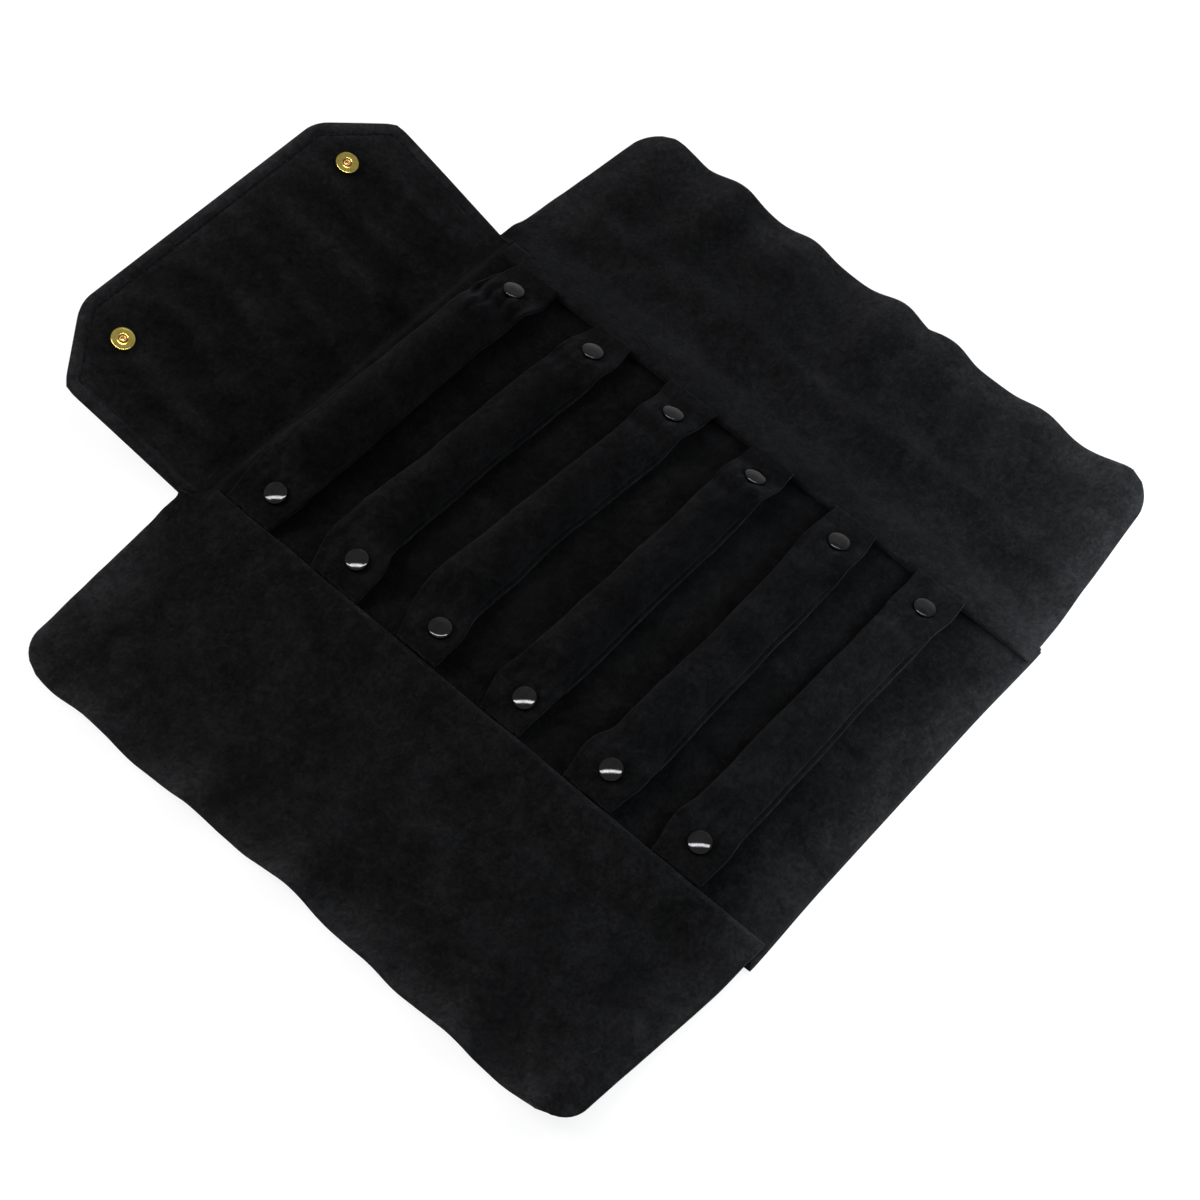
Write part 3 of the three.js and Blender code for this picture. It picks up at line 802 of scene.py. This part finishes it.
def make_spine_lining():
    x, x_rise = edge_profile(SPINE_LOW.x, SPINE_HIGH.x)
    y, y_rise = edge_profile(SPINE_LOW.y, SPINE_HIGH.y)
    grid = np.zeros((len(x), len(y), 3))
    grid[..., 0], grid[..., 1] = x[:, None], y[None, :]
    grid[..., 2] = np.minimum(x_rise[:, None], y_rise[None, :])
    off_roll = np.min([abs(grid[..., 1] - roll_row(number)) for number in ROLLS], axis=0)
    free = fade(9, 18, off_roll) * fade(0, 12, SEAM.x - abs(grid[..., 0]))
    inside = fade(-2, -0.8, grid[..., 2] - SPINE_HIGH.z)
    slack = 0.5 * MM + lumps(grid, SPINE_SLACK, 1)
    grid[..., 2] += inside * mix(-0.35 * MM, slack, free)
    groove = HEM_GROOVE * bell(grid[..., 1] - SPINE_LOW.y - HEM_STITCH, GROOVE_WIDTH)
    grid[..., 2] -= groove * smooth(SPINE_LOW.z, SPINE_HIGH.z, grid[..., 2])
    # Painted highlight along the lining's lower hem
    painted_glow = painted_edge_glow(grid[..., 1] - SPINE_LOW.y)
    lining = ply("spine_lining_suede", spread_hem(grid), PLY, SHADED_LINING, painted_glow=painted_glow)
    stand_for(lining, "spine_lining", "spine")


def make_spine_cover():
    low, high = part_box("spine_cover")
    sheet = flat_grid(low, high, int(SPINE_WIDE / SPINE_STEP), int(SPINE_TALL / SPINE_STEP))
    sheet[..., 2] = low.z + PLY / 2 + COVER_SLACK[0] + lumps(sheet, [COVER_SLACK], 4)
    for side in SIDES.values():
        stud = centre(f"closing_stud_{side}")
        off = np.hypot(sheet[..., 0] - stud.x, sheet[..., 1] - stud.y)
        sheet[..., 2] += STUD_DIMPLE * (1 - fade(4.8, 8, off))
    # Painted highlight along the cover's lower hem
    painted_glow = painted_edge_glow(sheet[..., 1] - low.y)
    cover = ply("spine_cover_suede", spread_hem(sheet), PLY, COVER, painted_glow=painted_glow)
    stand_for(cover, "spine_cover", "spine")


def make_spine_felt():
    low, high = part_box("spine_interlining")
    thick = high.z - low.z
    pad = flat_grid(low, high, 40, 60)
    x, y = pad[..., 0], pad[..., 1]
    edge = np.minimum(high.x - abs(x), np.minimum(y - low.y, high.y - y))
    pad[..., 2] = low.z + thick / 2 * mix(0.5, 1, smooth(-2 * MM, PAD_SLOPE, edge))
    felt = ply("spine_felt", pad, thick * 0.55, FELT)
    stand_for(felt, "spine_interlining", "spine")


def sew_hem():
    across = np.linspace(-HEM_THREAD_HALF, HEM_THREAD_HALF, 40)
    line = [(x, SPINE_LOW.y + HEM_STITCH, SPINE_HIGH.z - 0.95 * MM) for x in across]
    sewn = stitches("spine_hem_thread", line, np.array((0, 0, 1.0)))
    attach(sewn, "spine")


# Wings


def wing_columns(width):
    """Reach of each column from the seam and its drop under the top ply: hem, turn, then the wing."""
    hem = np.linspace(HEM_ALLOWANCE, 0.6 * MM, 5)
    columns = [(reach, -2 * HEM_FOLD) for reach in hem]
    for step in range(HEM_TURN_STEPS + 1):
        angle = -pi / 2 - pi * step / HEM_TURN_STEPS
        columns.append((HEM_FOLD * cos(angle), HEM_FOLD * sin(angle) - HEM_FOLD))
    near = np.arange(*mm(0.8, 14, 1.1))
    far = np.linspace(14.6 * MM, width - 0.1 * MM, 50)
    return np.array(columns + [(reach, 0) for reach in [*near, *far]]).T


def wing_ends(reach, drop, low, high, width, hand):
    """Lower and upper end of each column of a wing."""
    out = np.maximum(reach, 0)
    past = np.maximum(out - (width - WING_CORNER), 0)
    corner = WING_CORNER - np.sqrt(np.maximum(WING_CORNER**2 - past**2, 0))
    inset = WING_TAPER * out / width + corner
    bottom = low.y + inset - WING_FOOT[hand] * (1 - fade(8, 90, out))
    notch = smooth(*WING_STEP[hand], out) * (drop > -HEM_FOLD)
    top = mix(FOLD.y - SEAM_SHORT, high.y + WING_HEAD[hand], notch) - inset
    return bottom, top


def wing_relief(flat, at, top, width, hand):
    """Waves, crease, slack and gathers of a wing, over the surface that it falls along."""
    seed = WING_SEED + hand
    y = flat[..., 1]
    bent = y + lumps(flat, [WING_WANDER], seed)
    wave = np.zeros_like(y)
    for crest, height in WING_CRESTS[hand]:
        wave = np.maximum(wave, height * MM * bell(bent - crest * MM, CREST_WIDTH))
    wave *= smooth(0.3 * width, width, at) ** 1.3
    line = CREASE_REACH + lumps(flat, [CREASE_WANDER], seed + 1)
    fold = CREASE[hand] * (0.75 + lumps(flat, [CREASE_PATCHES], seed + 2))
    fold *= bell(at - line, CREASE_WIDTH) * (1 - fade(-45, -10, y - top))
    soft = sum(height for height, size in WING_SLACK) + lumps(flat, WING_SLACK, seed + 3)
    soft *= fade(4, 20, at)
    gather = lumps(flat * (0.4, 1, 1), [GATHERS], seed + 5)
    gather *= fade(0.5, 3, at) * (1 - fade(8, 22, at))
    return wave + fold + soft + gather


def wing_spread(flat, at, width, hand):
    """How far the wing's points move away from the seam: uneven free edge and hem."""
    seed = WING_SEED + hand
    edge = lumps(flat, [WING_RIM_WANDER], seed + 6) * smooth(width - 14 * MM, width, at)
    for place, spread, depth in WING_DRAWN_IN[hand]:
        drawn = depth * MM * bell(flat[..., 1] - place * MM, spread * MM)
        edge -= drawn * smooth(0.5 * width, width, at)
    hem = lumps(flat * (0, 1, 1), [WING_HEM_WANDER], seed + 7) - WING_HEM_IN
    return edge + hem * (1 - fade(2, 12, at))


def make_wing(hand):
    side = SIDES[hand]
    low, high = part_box(f"{side}_wing")
    width = max(abs(low.x), abs(high.x)) - SEAM.x
    reach, drop = wing_columns(width)
    bottom, top = (end[:, None] for end in wing_ends(reach, drop, low, high, width, hand))
    y = mix(bottom, top, np.linspace(0, 1, WING_ROWS)[None, :])
    at = np.repeat(reach[:, None], WING_ROWS, axis=1)
    y = y - WING_SLIP[hand] * fade(15, 80, at)
    flat = np.stack([at * hand, y, np.zeros_like(y)], axis=-1)
    rest = PLY / 2
    seat = mix(SEAM.z + HEM_FOLD, rest, smooth(0, WING_DROP_RUN, at))
    past_seam = y - (FOLD.y - SEAM_SHORT)
    loose = fade(-8, 6, past_seam) * fade(7, 9, at)
    seat = mix(seat, np.minimum(seat, rest + WING_LOOSE), loose)
    z = seat + drop[:, None] + wing_relief(flat, at, top, width, hand)
    x = hand * (SEAM.x + at + wing_spread(flat, at, width, hand))
    grid = np.stack([x, y, np.maximum(z, rest)], axis=-1)
    # Painted highlight along the wing's outer edges
    to_head = top - y + 25 * MM * (1 - fade(10, 35, at))
    painted_glow = painted_edge_glow(np.minimum(width - at, np.minimum(to_head, y - bottom)))
    if hand < 0:
        grid, painted_glow = grid[:, ::-1], painted_glow[:, ::-1]
    wing = ply(f"{side}_wing_suede", grid, PLY, WING, painted_columns=WING_EDGE_HIGHLIGHT[hand], painted_glow=painted_glow)
    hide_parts(f"{side}_wing")
    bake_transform(wing)


# Flap


def flap_turn():
    return Matrix.Translation(FOLD) @ Matrix.Rotation(FLAP_TILT, 4, "X")


def flap_rise(reach):
    """Height of the flap's soft arch over its plane."""
    return FLAP_RISE * np.sin(pi * np.clip(reach / FLAP_LENGTH, 0, 1))


def flap_side(reach, hand):
    """Half width of the flap on one side, without clipped corners: a narrow tongue, then the flap."""
    root, far = FLAP_SIDES[hand]
    run = np.clip(reach / CLIP_START, 0, 1)
    return mix(TONGUE_HALF, mix(root, far, run), fade(-6.2, -5, reach))


def soften_corners(x, u):
    """Draws the flap's four corners in along their bisectors, so that they are round."""
    moved_x, moved_u = x.copy(), u.copy()
    for hand in SIDES:
        half = FLAP_SIDES[hand][1]
        slant = Vector((FREE_HALF - half, CLIP_RUN)).normalized()
        corners = (
            (half, CLIP_START, Vector((0, -1)) + slant),
            (FREE_HALF, FLAP_LENGTH, Vector((-1, 0)) - slant),
        )
        for corner_x, corner_u, bisector in corners:
            bisector.normalize()
            pull = FLAP_CORNER * bell(np.hypot(hand * x - corner_x, u - corner_u), FLAP_CORNER_REACH)
            moved_x += hand * pull * bisector.x
            moved_u += pull * bisector.y
    return moved_x, moved_u


def flap_outline(first):
    """Points over the flap, flat, with the distance of each in from the edge."""
    root_rows, main_rows, clip_rows = FLAP_ROWS
    reach = np.concatenate([
        np.linspace(first, FLAP_ROOT, root_rows)[:-1],
        np.linspace(FLAP_ROOT, CLIP_START, main_rows)[:-1],
        np.linspace(CLIP_START, FLAP_LENGTH, clip_rows),
    ])
    share = np.sin(np.linspace(-1, 1, FLAP_COLUMNS) * CROWDING) / sin(CROWDING)
    share = share[:, None]
    clip = np.clip((reach - CLIP_START) / CLIP_RUN, 0, 1)[None, :]
    side = np.where(share < 0, flap_side(reach, -1)[None, :], flap_side(reach, 1)[None, :])
    x = share * mix(side, FREE_HALF, clip)
    u = np.repeat(reach[None, :], FLAP_COLUMNS, axis=0)
    cut = side - FREE_HALF
    to_side, to_end = side - abs(x), FLAP_LENGTH - u
    to_clip = (to_side * CLIP_RUN + to_end * cut - cut * CLIP_RUN) / np.hypot(cut, CLIP_RUN)
    edge = np.minimum(np.minimum(to_side, to_end), to_clip)
    x, u = soften_corners(x, u)
    return np.stack([x, u, np.zeros_like(x)], axis=-1), edge


def flap_relief(flat, edge):
    """Height of the flap over its plane, and where its ripples crest."""
    x, u = flat[..., 0], flat[..., 1]
    calm = fade(6, 14, np.hypot(abs(x) - FLAP_SNAP[0], u - FLAP_SNAP[1]))
    wander = lumps(flat, [RIPPLE_WANDER], FLAP_SEED)
    crest = np.sin(2 * pi * (x + wander) / RIPPLE_PITCH)
    crest *= smooth(FLAP_STITCH, 22 * MM, edge) * fade(4, 24, u)
    soft = lumps(flat, [FLAP_SLACK], FLAP_SEED + 1) * fade(0, 15, edge)
    curl = lumps(flat, [FLAP_CURL], 61) * fade(20, 60, u)
    height = flap_rise(u) + calm * (RIPPLE * crest + soft + curl) - (1 - calm) * FLAP_DIMPLE
    return height, crest


def flap_painted_glow(u, edge, crest):
    """Painted glow of the flap, a painted highlight: margin, a halo inside it, and crests of ripples."""
    margin = 0.55 * (1 - fade(4, 8, edge))
    halo = 0.45 * (1 - fade(6, 26, edge))
    strength = fade(0, 10, u) * mix(0.6, 1, fade(20, 75, u))
    return (margin + halo) * strength + 0.22 * smooth(0.2, 1, crest)


def spine_height(y):
    """Height of the middle of the spine's lining near its upper edge, without its slack."""
    inward = np.clip((SPINE_HIGH.y - PLY / 2 - y) / PAD_ROUND, 0, 1)
    lip = SPINE_LOW.z + PAD_LIP
    return lip + (SPINE_HIGH.z - PLY / 2 - lip) * np.sqrt(1 - (1 - inward) ** 2)


def make_flap_ply(name, node, material, inner):
    """One ply of the flap, whose inner one goes on over the spine's edge as a tongue."""
    turn = np.array(flap_turn())
    sign = 1 if inner else -1
    first = -TONGUE if inner else -COVER_START
    flat, edge = flap_outline(first)
    u = flat[..., 1]
    height, crest = flap_relief(flat, edge)
    puff = PUFF * np.sin(pi * np.clip(edge / FLAP_STITCH, 0, 1)) - 0.3 * MM
    groove = FLAP_GROOVE * bell(edge - FLAP_STITCH, GROOVE_WIDTH)
    margin = (puff - groove) * fade(2, 9, u)
    surface = flat.copy()
    surface[..., 2] = height + sign * (PLY / 2 + PLY_GAP + margin)
    grid = surface @ turn[:3, :3].T + turn[:3, 3]
    if inner:
        over = spine_height(FOLD.y + u) + 1.25 * PLY + lumps(flat, [TONGUE_SLACK], 44)
        over = mix(over, grid[..., 2], smooth(-3.5 * MM, FLAP_ROOT, u))
        grid[..., 2] = np.where(u < FLAP_ROOT, over, grid[..., 2])
    grid[..., 2] = np.maximum(grid[..., 2], PLY / 2)
    # Darker rows at the fold: painted shade
    shaded_rows = FLAP_SHADED_ROWS if inner else ()
    # Painted highlight along the flap's margin and on its ripple crests
    painted_glow = flap_painted_glow(u, edge, crest)
    sheet = ply(name, grid, PLY, material, painted_rows=shaded_rows, painted_light=FOLD_SHADE, painted_glow=painted_glow)
    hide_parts(node)
    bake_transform(sheet)
    return surface


def make_flap():
    surface = make_flap_ply("flap_lining_suede", "flap_lining", FLAP_LINING, inner=True)
    make_flap_ply("flap_cover_suede", "flap_cover", COVER, inner=False)
    sew_flap(surface.reshape(-1, 3))


def sew_flap(surface):
    """Topstitching round the flap, inside its edge by the turned margin."""
    route = []
    for hand in SIDES:
        half = FLAP_SIDES[hand][1]
        cut = half - FREE_HALF
        diagonal = hypot(cut, CLIP_RUN)
        back = FLAP_STITCH * (diagonal - cut) / CLIP_RUN
        side = FLAP_STITCH * (diagonal - CLIP_RUN) / cut
        root = (half - FLAP_STITCH, 9 * MM)
        corner = (half - FLAP_STITCH, CLIP_START - back)
        free = (FREE_HALF - side, FLAP_LENGTH - FLAP_STITCH)
        path = [(hand * x, u) for x, u in (root, corner, free)]
        route += path if hand < 0 else path[::-1]
    line = []
    for (x0, u0), (x1, u1) in zip(route, route[1:]):
        steps = max(int(hypot(x1 - x0, u1 - u0) / (1.5 * MM)), 1)
        for step in range(steps):
            x, u = mix(x0, x1, step / steps), mix(u0, u1, step / steps)
            nearest = np.argsort((surface[:, 0] - x) ** 2 + (surface[:, 1] - u) ** 2)[:4]
            line.append((x, u, surface[nearest, 2].mean() + PLY / 2 + 0.05 * MM))
    turn = np.array(flap_turn())
    sewn = stitches("flap_thread", np.array(line) @ turn[:3, :3].T + turn[:3, 3], turn[:3, 2])
    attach(sewn, "flap")


# Rolls


def roll_row(number):
    return centre(f"roll_{number}_cover").y


def roll_edges(number, x):
    """Reach of a roll's upper and lower edge from its row of snaps at each station."""
    result = []
    for edge in ROLL_EDGES[number]:
        at = np.interp(x, np.array(ROLL_STATIONS) * MM, np.array(edge) * MM)
        padded = np.pad(at, EDGE_SPAN // 2, mode="edge")
        result.append(np.convolve(padded, np.ones(EDGE_SPAN) / EDGE_SPAN, mode="valid"))
    return result


def roll_stuffed(off):
    """One where a roll is stuffed, none at its flat tabs."""
    return 1 - smooth(SNAP_X - TAB_RUN - SWELL_RUN, SNAP_X - TAB_RUN, off)


def dome(share, power, blunt):
    return np.maximum(1 - abs(2 * share - 1) ** power, 0) ** blunt


def tab_height(number, x):
    """Height of the middle of a roll's tabs, which lean with their caps and droop at their ends."""
    off, left = abs(x), x < 0
    past = off - SNAP_X
    lean = np.where(left, *(tan(radians(angle)) for angle in CAP_LEAN[number]))
    slant = lean * past * fade(-16, -6, past)
    hollow = mix(slant, TAB_DROOP[1], fade(4, 10, past))
    hanging = slant + TAB_DROOP[-1] * 0.5 * smooth(SNAP_X + 6 * MM, TAB_END, off)
    slant = np.where(left, np.minimum(hanging, TAB_DROOP[-1]), hollow)
    return TAB_BOTTOM + TAB_THICK / 2 - slant


def roll_shape(number):
    """Middle of the suede of a roll before it is stuffed: stations along X, points round each."""
    low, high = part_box(f"roll_{number}_cover")
    fat = number == FAT_ROLL
    height = high.z - low.z - ROLL_PLY
    x = np.linspace(-TAB_END, TAB_END + TAB_OVERHANG, int(2 * TAB_END / ROLL_STEP) + 2)
    stuffed = roll_stuffed(abs(x))[:, None]
    upper, lower = (edge[:, None] - ROLL_PLY / 2 for edge in roll_edges(number, x))
    fin = ROLL_FIN[fat] * stuffed + 0.1 * MM
    foot = low.z + ROLL_PLY / 2
    ridge, seam = foot + ROLL_RIDGE * height, foot + ROLL_SEAM * height
    tab = tab_height(number, x)[:, None]
    tab_half = (TAB_THICK - ROLL_PLY) / 2
    over_points, fin_points, under_points = ROLL_POINTS

    across = 0.5 - 0.5 * np.cos(pi * np.linspace(0, 1, over_points))[None, :]
    skew, power, blunt = ROLL_SWELL[fat]
    base = mix(ridge, seam, across) + ROLL_GAP
    full = mix(base, foot + height, dome(across**skew, power, blunt))
    over_y = upper - across * (upper + lower - fin)
    over_z = mix(tab + tab_half, full, stuffed)

    step = np.linspace(0, 1, fin_points + 1)[None, 1:]
    fin_y = -(lower - fin) - fin * step
    fin_over = mix(tab + tab_half, seam + ROLL_GAP, stuffed) + 0 * step
    fin_under = mix(tab - tab_half, seam - ROLL_GAP, stuffed) + 0 * step
    tip_y = fin_y[:, -1:] - 0.3 * ROLL_PLY
    tip_z = (fin_over[:, -1:] + fin_under[:, -1:]) / 2

    back = np.linspace(1, 0, under_points)[None, :]
    base = mix(ridge, seam, back) - ROLL_GAP
    full = mix(base, foot, dome(back, 4, 0.5))
    under_y = upper - back * (upper + lower - fin)
    under_z = mix(tab - tab_half, full, stuffed)

    y = np.concatenate([over_y, fin_y, tip_y, fin_y[:, ::-1], under_y], axis=1)
    z = np.concatenate([over_z, fin_over, tip_z, fin_under[:, ::-1], under_z], axis=1)
    grid = np.stack([np.repeat(x[:, None], y.shape[1], axis=1), y, z], axis=-1)
    return grid[:, ::-1], stuffed


def stuff(grid, held):
    """The grid pressed outwards by its stuffing in a cloth simulation, each point within a reach."""
    columns, rows = grid.shape[:2]
    faces = [corners for i, j, corners in cells(columns, rows, closed=True)]
    cloth = piece("stuffed", grid.reshape(-1, 3), faces, ROLL)
    pins = cloth.vertex_groups.new(name="held")
    for index, weight in enumerate(held.reshape(-1)):
        pins.add([index], float(weight), "REPLACE")
    modifier = cloth.modifiers.new("stuffing", "CLOTH")
    for name, value in CLOTH.items():
        setattr(modifier.settings, name, value)
    modifier.settings.effector_weights.gravity = 0
    modifier.collision_settings.use_collision = False
    modifier.point_cache.frame_end = CLOTH_FRAMES
    scene = bpy.context.scene
    for step in range(1, CLOTH_FRAMES + 1):
        scene.frame_set(step)
    pressed = cloth.evaluated_get(bpy.context.evaluated_depsgraph_get())
    points = np.empty(columns * rows * 3)
    pressed.data.vertices.foreach_get("co", points)
    scene.frame_set(1)
    bpy.data.objects.remove(cloth, do_unlink=True)
    moved = points.reshape(grid.shape) - grid
    length = np.linalg.norm(moved, axis=-1, keepdims=True)
    return grid + moved * np.minimum(1, CLOTH_REACH / np.maximum(length, 1e-9))


def roll_grid(number):
    """Middle of the suede of a finished roll, and where it is stuffed."""
    low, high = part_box(f"roll_{number}_cover")
    fat = number == FAT_ROLL
    seed = 70 + 7 * number
    grid, stuffed = roll_shape(number)
    x, y = grid[..., 0], grid[..., 1]
    off = abs(x)
    middle = mix(TAB_BOTTOM, (low.z + high.z) / 2, stuffed)
    above = smooth(-0.15, 0.35, (grid[..., 2] - middle) / (high.z - low.z))
    pinch = fade(40, 60, off) * (1 - fade(67, 77, off))
    crumple = np.where((x > 0) & fat, ROLL_CRUMPLE[True], ROLL_CRUMPLE[False])
    phase = lumps(grid, [ROLL_GATHER_WANDER], seed)
    gather = pinch * crumple * np.sin(2 * pi * (y + phase) / ROLL_GATHER_PITCH)
    ring = CAP_RING * bell(np.hypot(off - SNAP_X, y) - CAP_RING_RADIUS, CAP_RING_WIDTH)
    grid[..., 2] += above * (gather + ring)
    lower = roll_edges(number, x[:, 0])[1][:, None]
    at_fin = smooth(-2 * ROLL_FIN[fat], -ROLL_FIN[fat], -y - lower)
    held = np.maximum(1 - stuffed**0.5, at_fin * (grid[..., 2] < low.z + 3 * MM))
    grid = stuff(grid, held)
    soft = lumps(grid, ROLL_SLACK, seed + 1) + lumps(grid * (0.28, 1, 1), [ROLL_FOLDS], seed + 5)
    grid[..., 2] += above * soft * mix(0.35, 1, stuffed)
    wander = lumps(grid * (1, 0, 0), [SIDE_WANDER], seed + 4)
    grid[..., 1] += soft * 0.5 * stuffed + wander
    frayed = smooth(TAB_END - 2.5 * MM, TAB_END, off)
    grid[..., 0] += np.sign(x) * frayed * lumps(grid, [FRAY], seed + 3)
    grid[..., 2] = np.clip(grid[..., 2], low.z + ROLL_PLY / 2, high.z - ROLL_PLY / 2 + 0.8 * MM)
    grid[..., 1] += roll_row(number)
    return grid, stuffed[:, 0]


def make_roll(number):
    body = f"roll_{number}"
    fat = number == FAT_ROLL
    grid, stuffed = roll_grid(number)
    over_points, fin_points, under_points = ROLL_POINTS
    tip, last = under_points + fin_points, grid.shape[1] - 1
    # Lighter rows along each roll's upper edge and fin: painted highlight where edges catch light
    painted_light = [last] if fat else [tip - 1, tip, last]
    cover = ply(f"{body}_suede", grid, ROLL_PLY, ROLL, closed=True, painted_rows=painted_light)
    stand_for(cover, f"{body}_cover", body)

    tube = [*range(under_points), *range(tip + fin_points + 1, last + 1)]
    inner = grid[stuffed > 0.35][:, tube]
    filling = mix(inner.mean(axis=1, keepdims=True), inner, 0.8)
    core = ply(f"{body}_stuffing", filling, CORE_PLY, STUFFING, closed=True)
    stand_for(core, f"{body}_core", body)


# Snaps


def cap_profile(tip):
    """A snap cap: its post with a flared tip, a flat underside, a rounded rim and a low dome."""
    neck = CAP_UNDER[0][0]
    post = [(AXIS, tip), (1.8, tip), (1.8, tip + 0.3), (neck, tip + 0.3)]
    shoulder, foot = CAP_RIM[-1]
    top = []
    for step in range(1, CAP_STEPS):
        inward = 1 - step / CAP_STEPS
        top.append((shoulder * inward, foot + (CAP_TOP - foot) * (1 - inward**2)))
    return in_metres([*post, *CAP_UNDER, *CAP_RIM, *top, (AXIS, CAP_TOP)])


def make_roll_snap(number, hand):
    name, body = f"roll_{number}_{SIDES[hand]}", f"roll_{number}"
    place = centre(f"{name}_cap")

    def at(height):
        return Matrix.Translation((place.x, place.y, height))

    tilt = Matrix.Rotation(hand * radians(CAP_LEAN[number][hand > 0]), 4, "Y")
    turn = at(TAB_BOTTOM + TAB_THICK - CAP_SINK[hand]) @ tilt
    cap = lathe(f"{name}_cap_dome", cap_profile(CAP_POST_TIP["roll"]), NICKEL, CAP_SEGMENTS, turn)
    stand_for(cap, f"{name}_cap", body)
    profile = rounded(SOCKET_OUTLINE, SOCKET_CORNER)
    socket = lathe(f"{name}_socket_ring", profile, NICKEL, SNAP_SEGMENTS, at(TAB_BOTTOM))
    stand_for(socket, f"{name}_socket", body)
    profile = rounded(STUD_OUTLINE, STUD_CORNER)
    stud = lathe(f"{name}_stud_post", profile, NICKEL, SNAP_SEGMENTS, at(SPINE_HIGH.z))
    stand_for(stud, f"{name}_stud", "spine")


def make_closing_stud(hand):
    name = f"closing_stud_{SIDES[hand]}"
    place = centre(name)
    over = Matrix.Translation((place.x, place.y, STUD_DIMPLE)) @ Matrix.Rotation(pi, 4, "X")
    stud = lathe(f"{name}_post", rounded(STUD_OUTLINE, STUD_CORNER), BRASS, SNAP_SEGMENTS, over)
    stand_for(stud, name, "spine")


def make_flap_snap(hand):
    name = f"flap_{SIDES[hand]}"
    rise, ahead = (float(flap_rise(FLAP_SNAP[1] + step)) for step in (0, MM))
    slope = Matrix.Rotation(atan2(ahead - rise, MM), 4, "X")
    place = Matrix.Translation((hand * FLAP_SNAP[0], FLAP_SNAP[1], rise - FLAP_DIMPLE))
    turn = flap_turn() @ place @ slope
    inner = turn @ Matrix.Translation((0, 0, PLY + PLY_GAP))
    outer = turn @ Matrix.Translation((0, 0, -PLY - PLY_GAP)) @ Matrix.Rotation(pi, 4, "X")
    socket = lathe(f"{name}_socket", rounded(DISC_OUTLINE, DISC_CORNER), BRASS, CAP_SEGMENTS, inner)
    stand_for(socket, f"{name}_snap", "flap")
    cap = lathe(f"{name}_cap", cap_profile(CAP_POST_TIP["flap"]), BRASS, CAP_SEGMENTS, outer)
    barrel = lathe(f"{name}_barrel", in_metres(BARREL_OUTLINE), COPPER, CAP_SEGMENTS, inner)
    for made in (cap, barrel):
        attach(made, "flap")


make_camera()
make_world()
make_floor()
make_lamps()
make_spine_lining()
make_spine_cover()
make_spine_felt()
sew_hem()
for hand in SIDES:
    make_wing(hand)
make_flap()
for number in ROLLS:
    make_roll(number)
for number in ROLLS:
    for hand in SIDES:
        make_roll_snap(number, hand)
for hand in SIDES:
    make_closing_stud(hand)
    make_flap_snap(hand)

bpy.context.scene.view_settings.view_transform = "Standard"
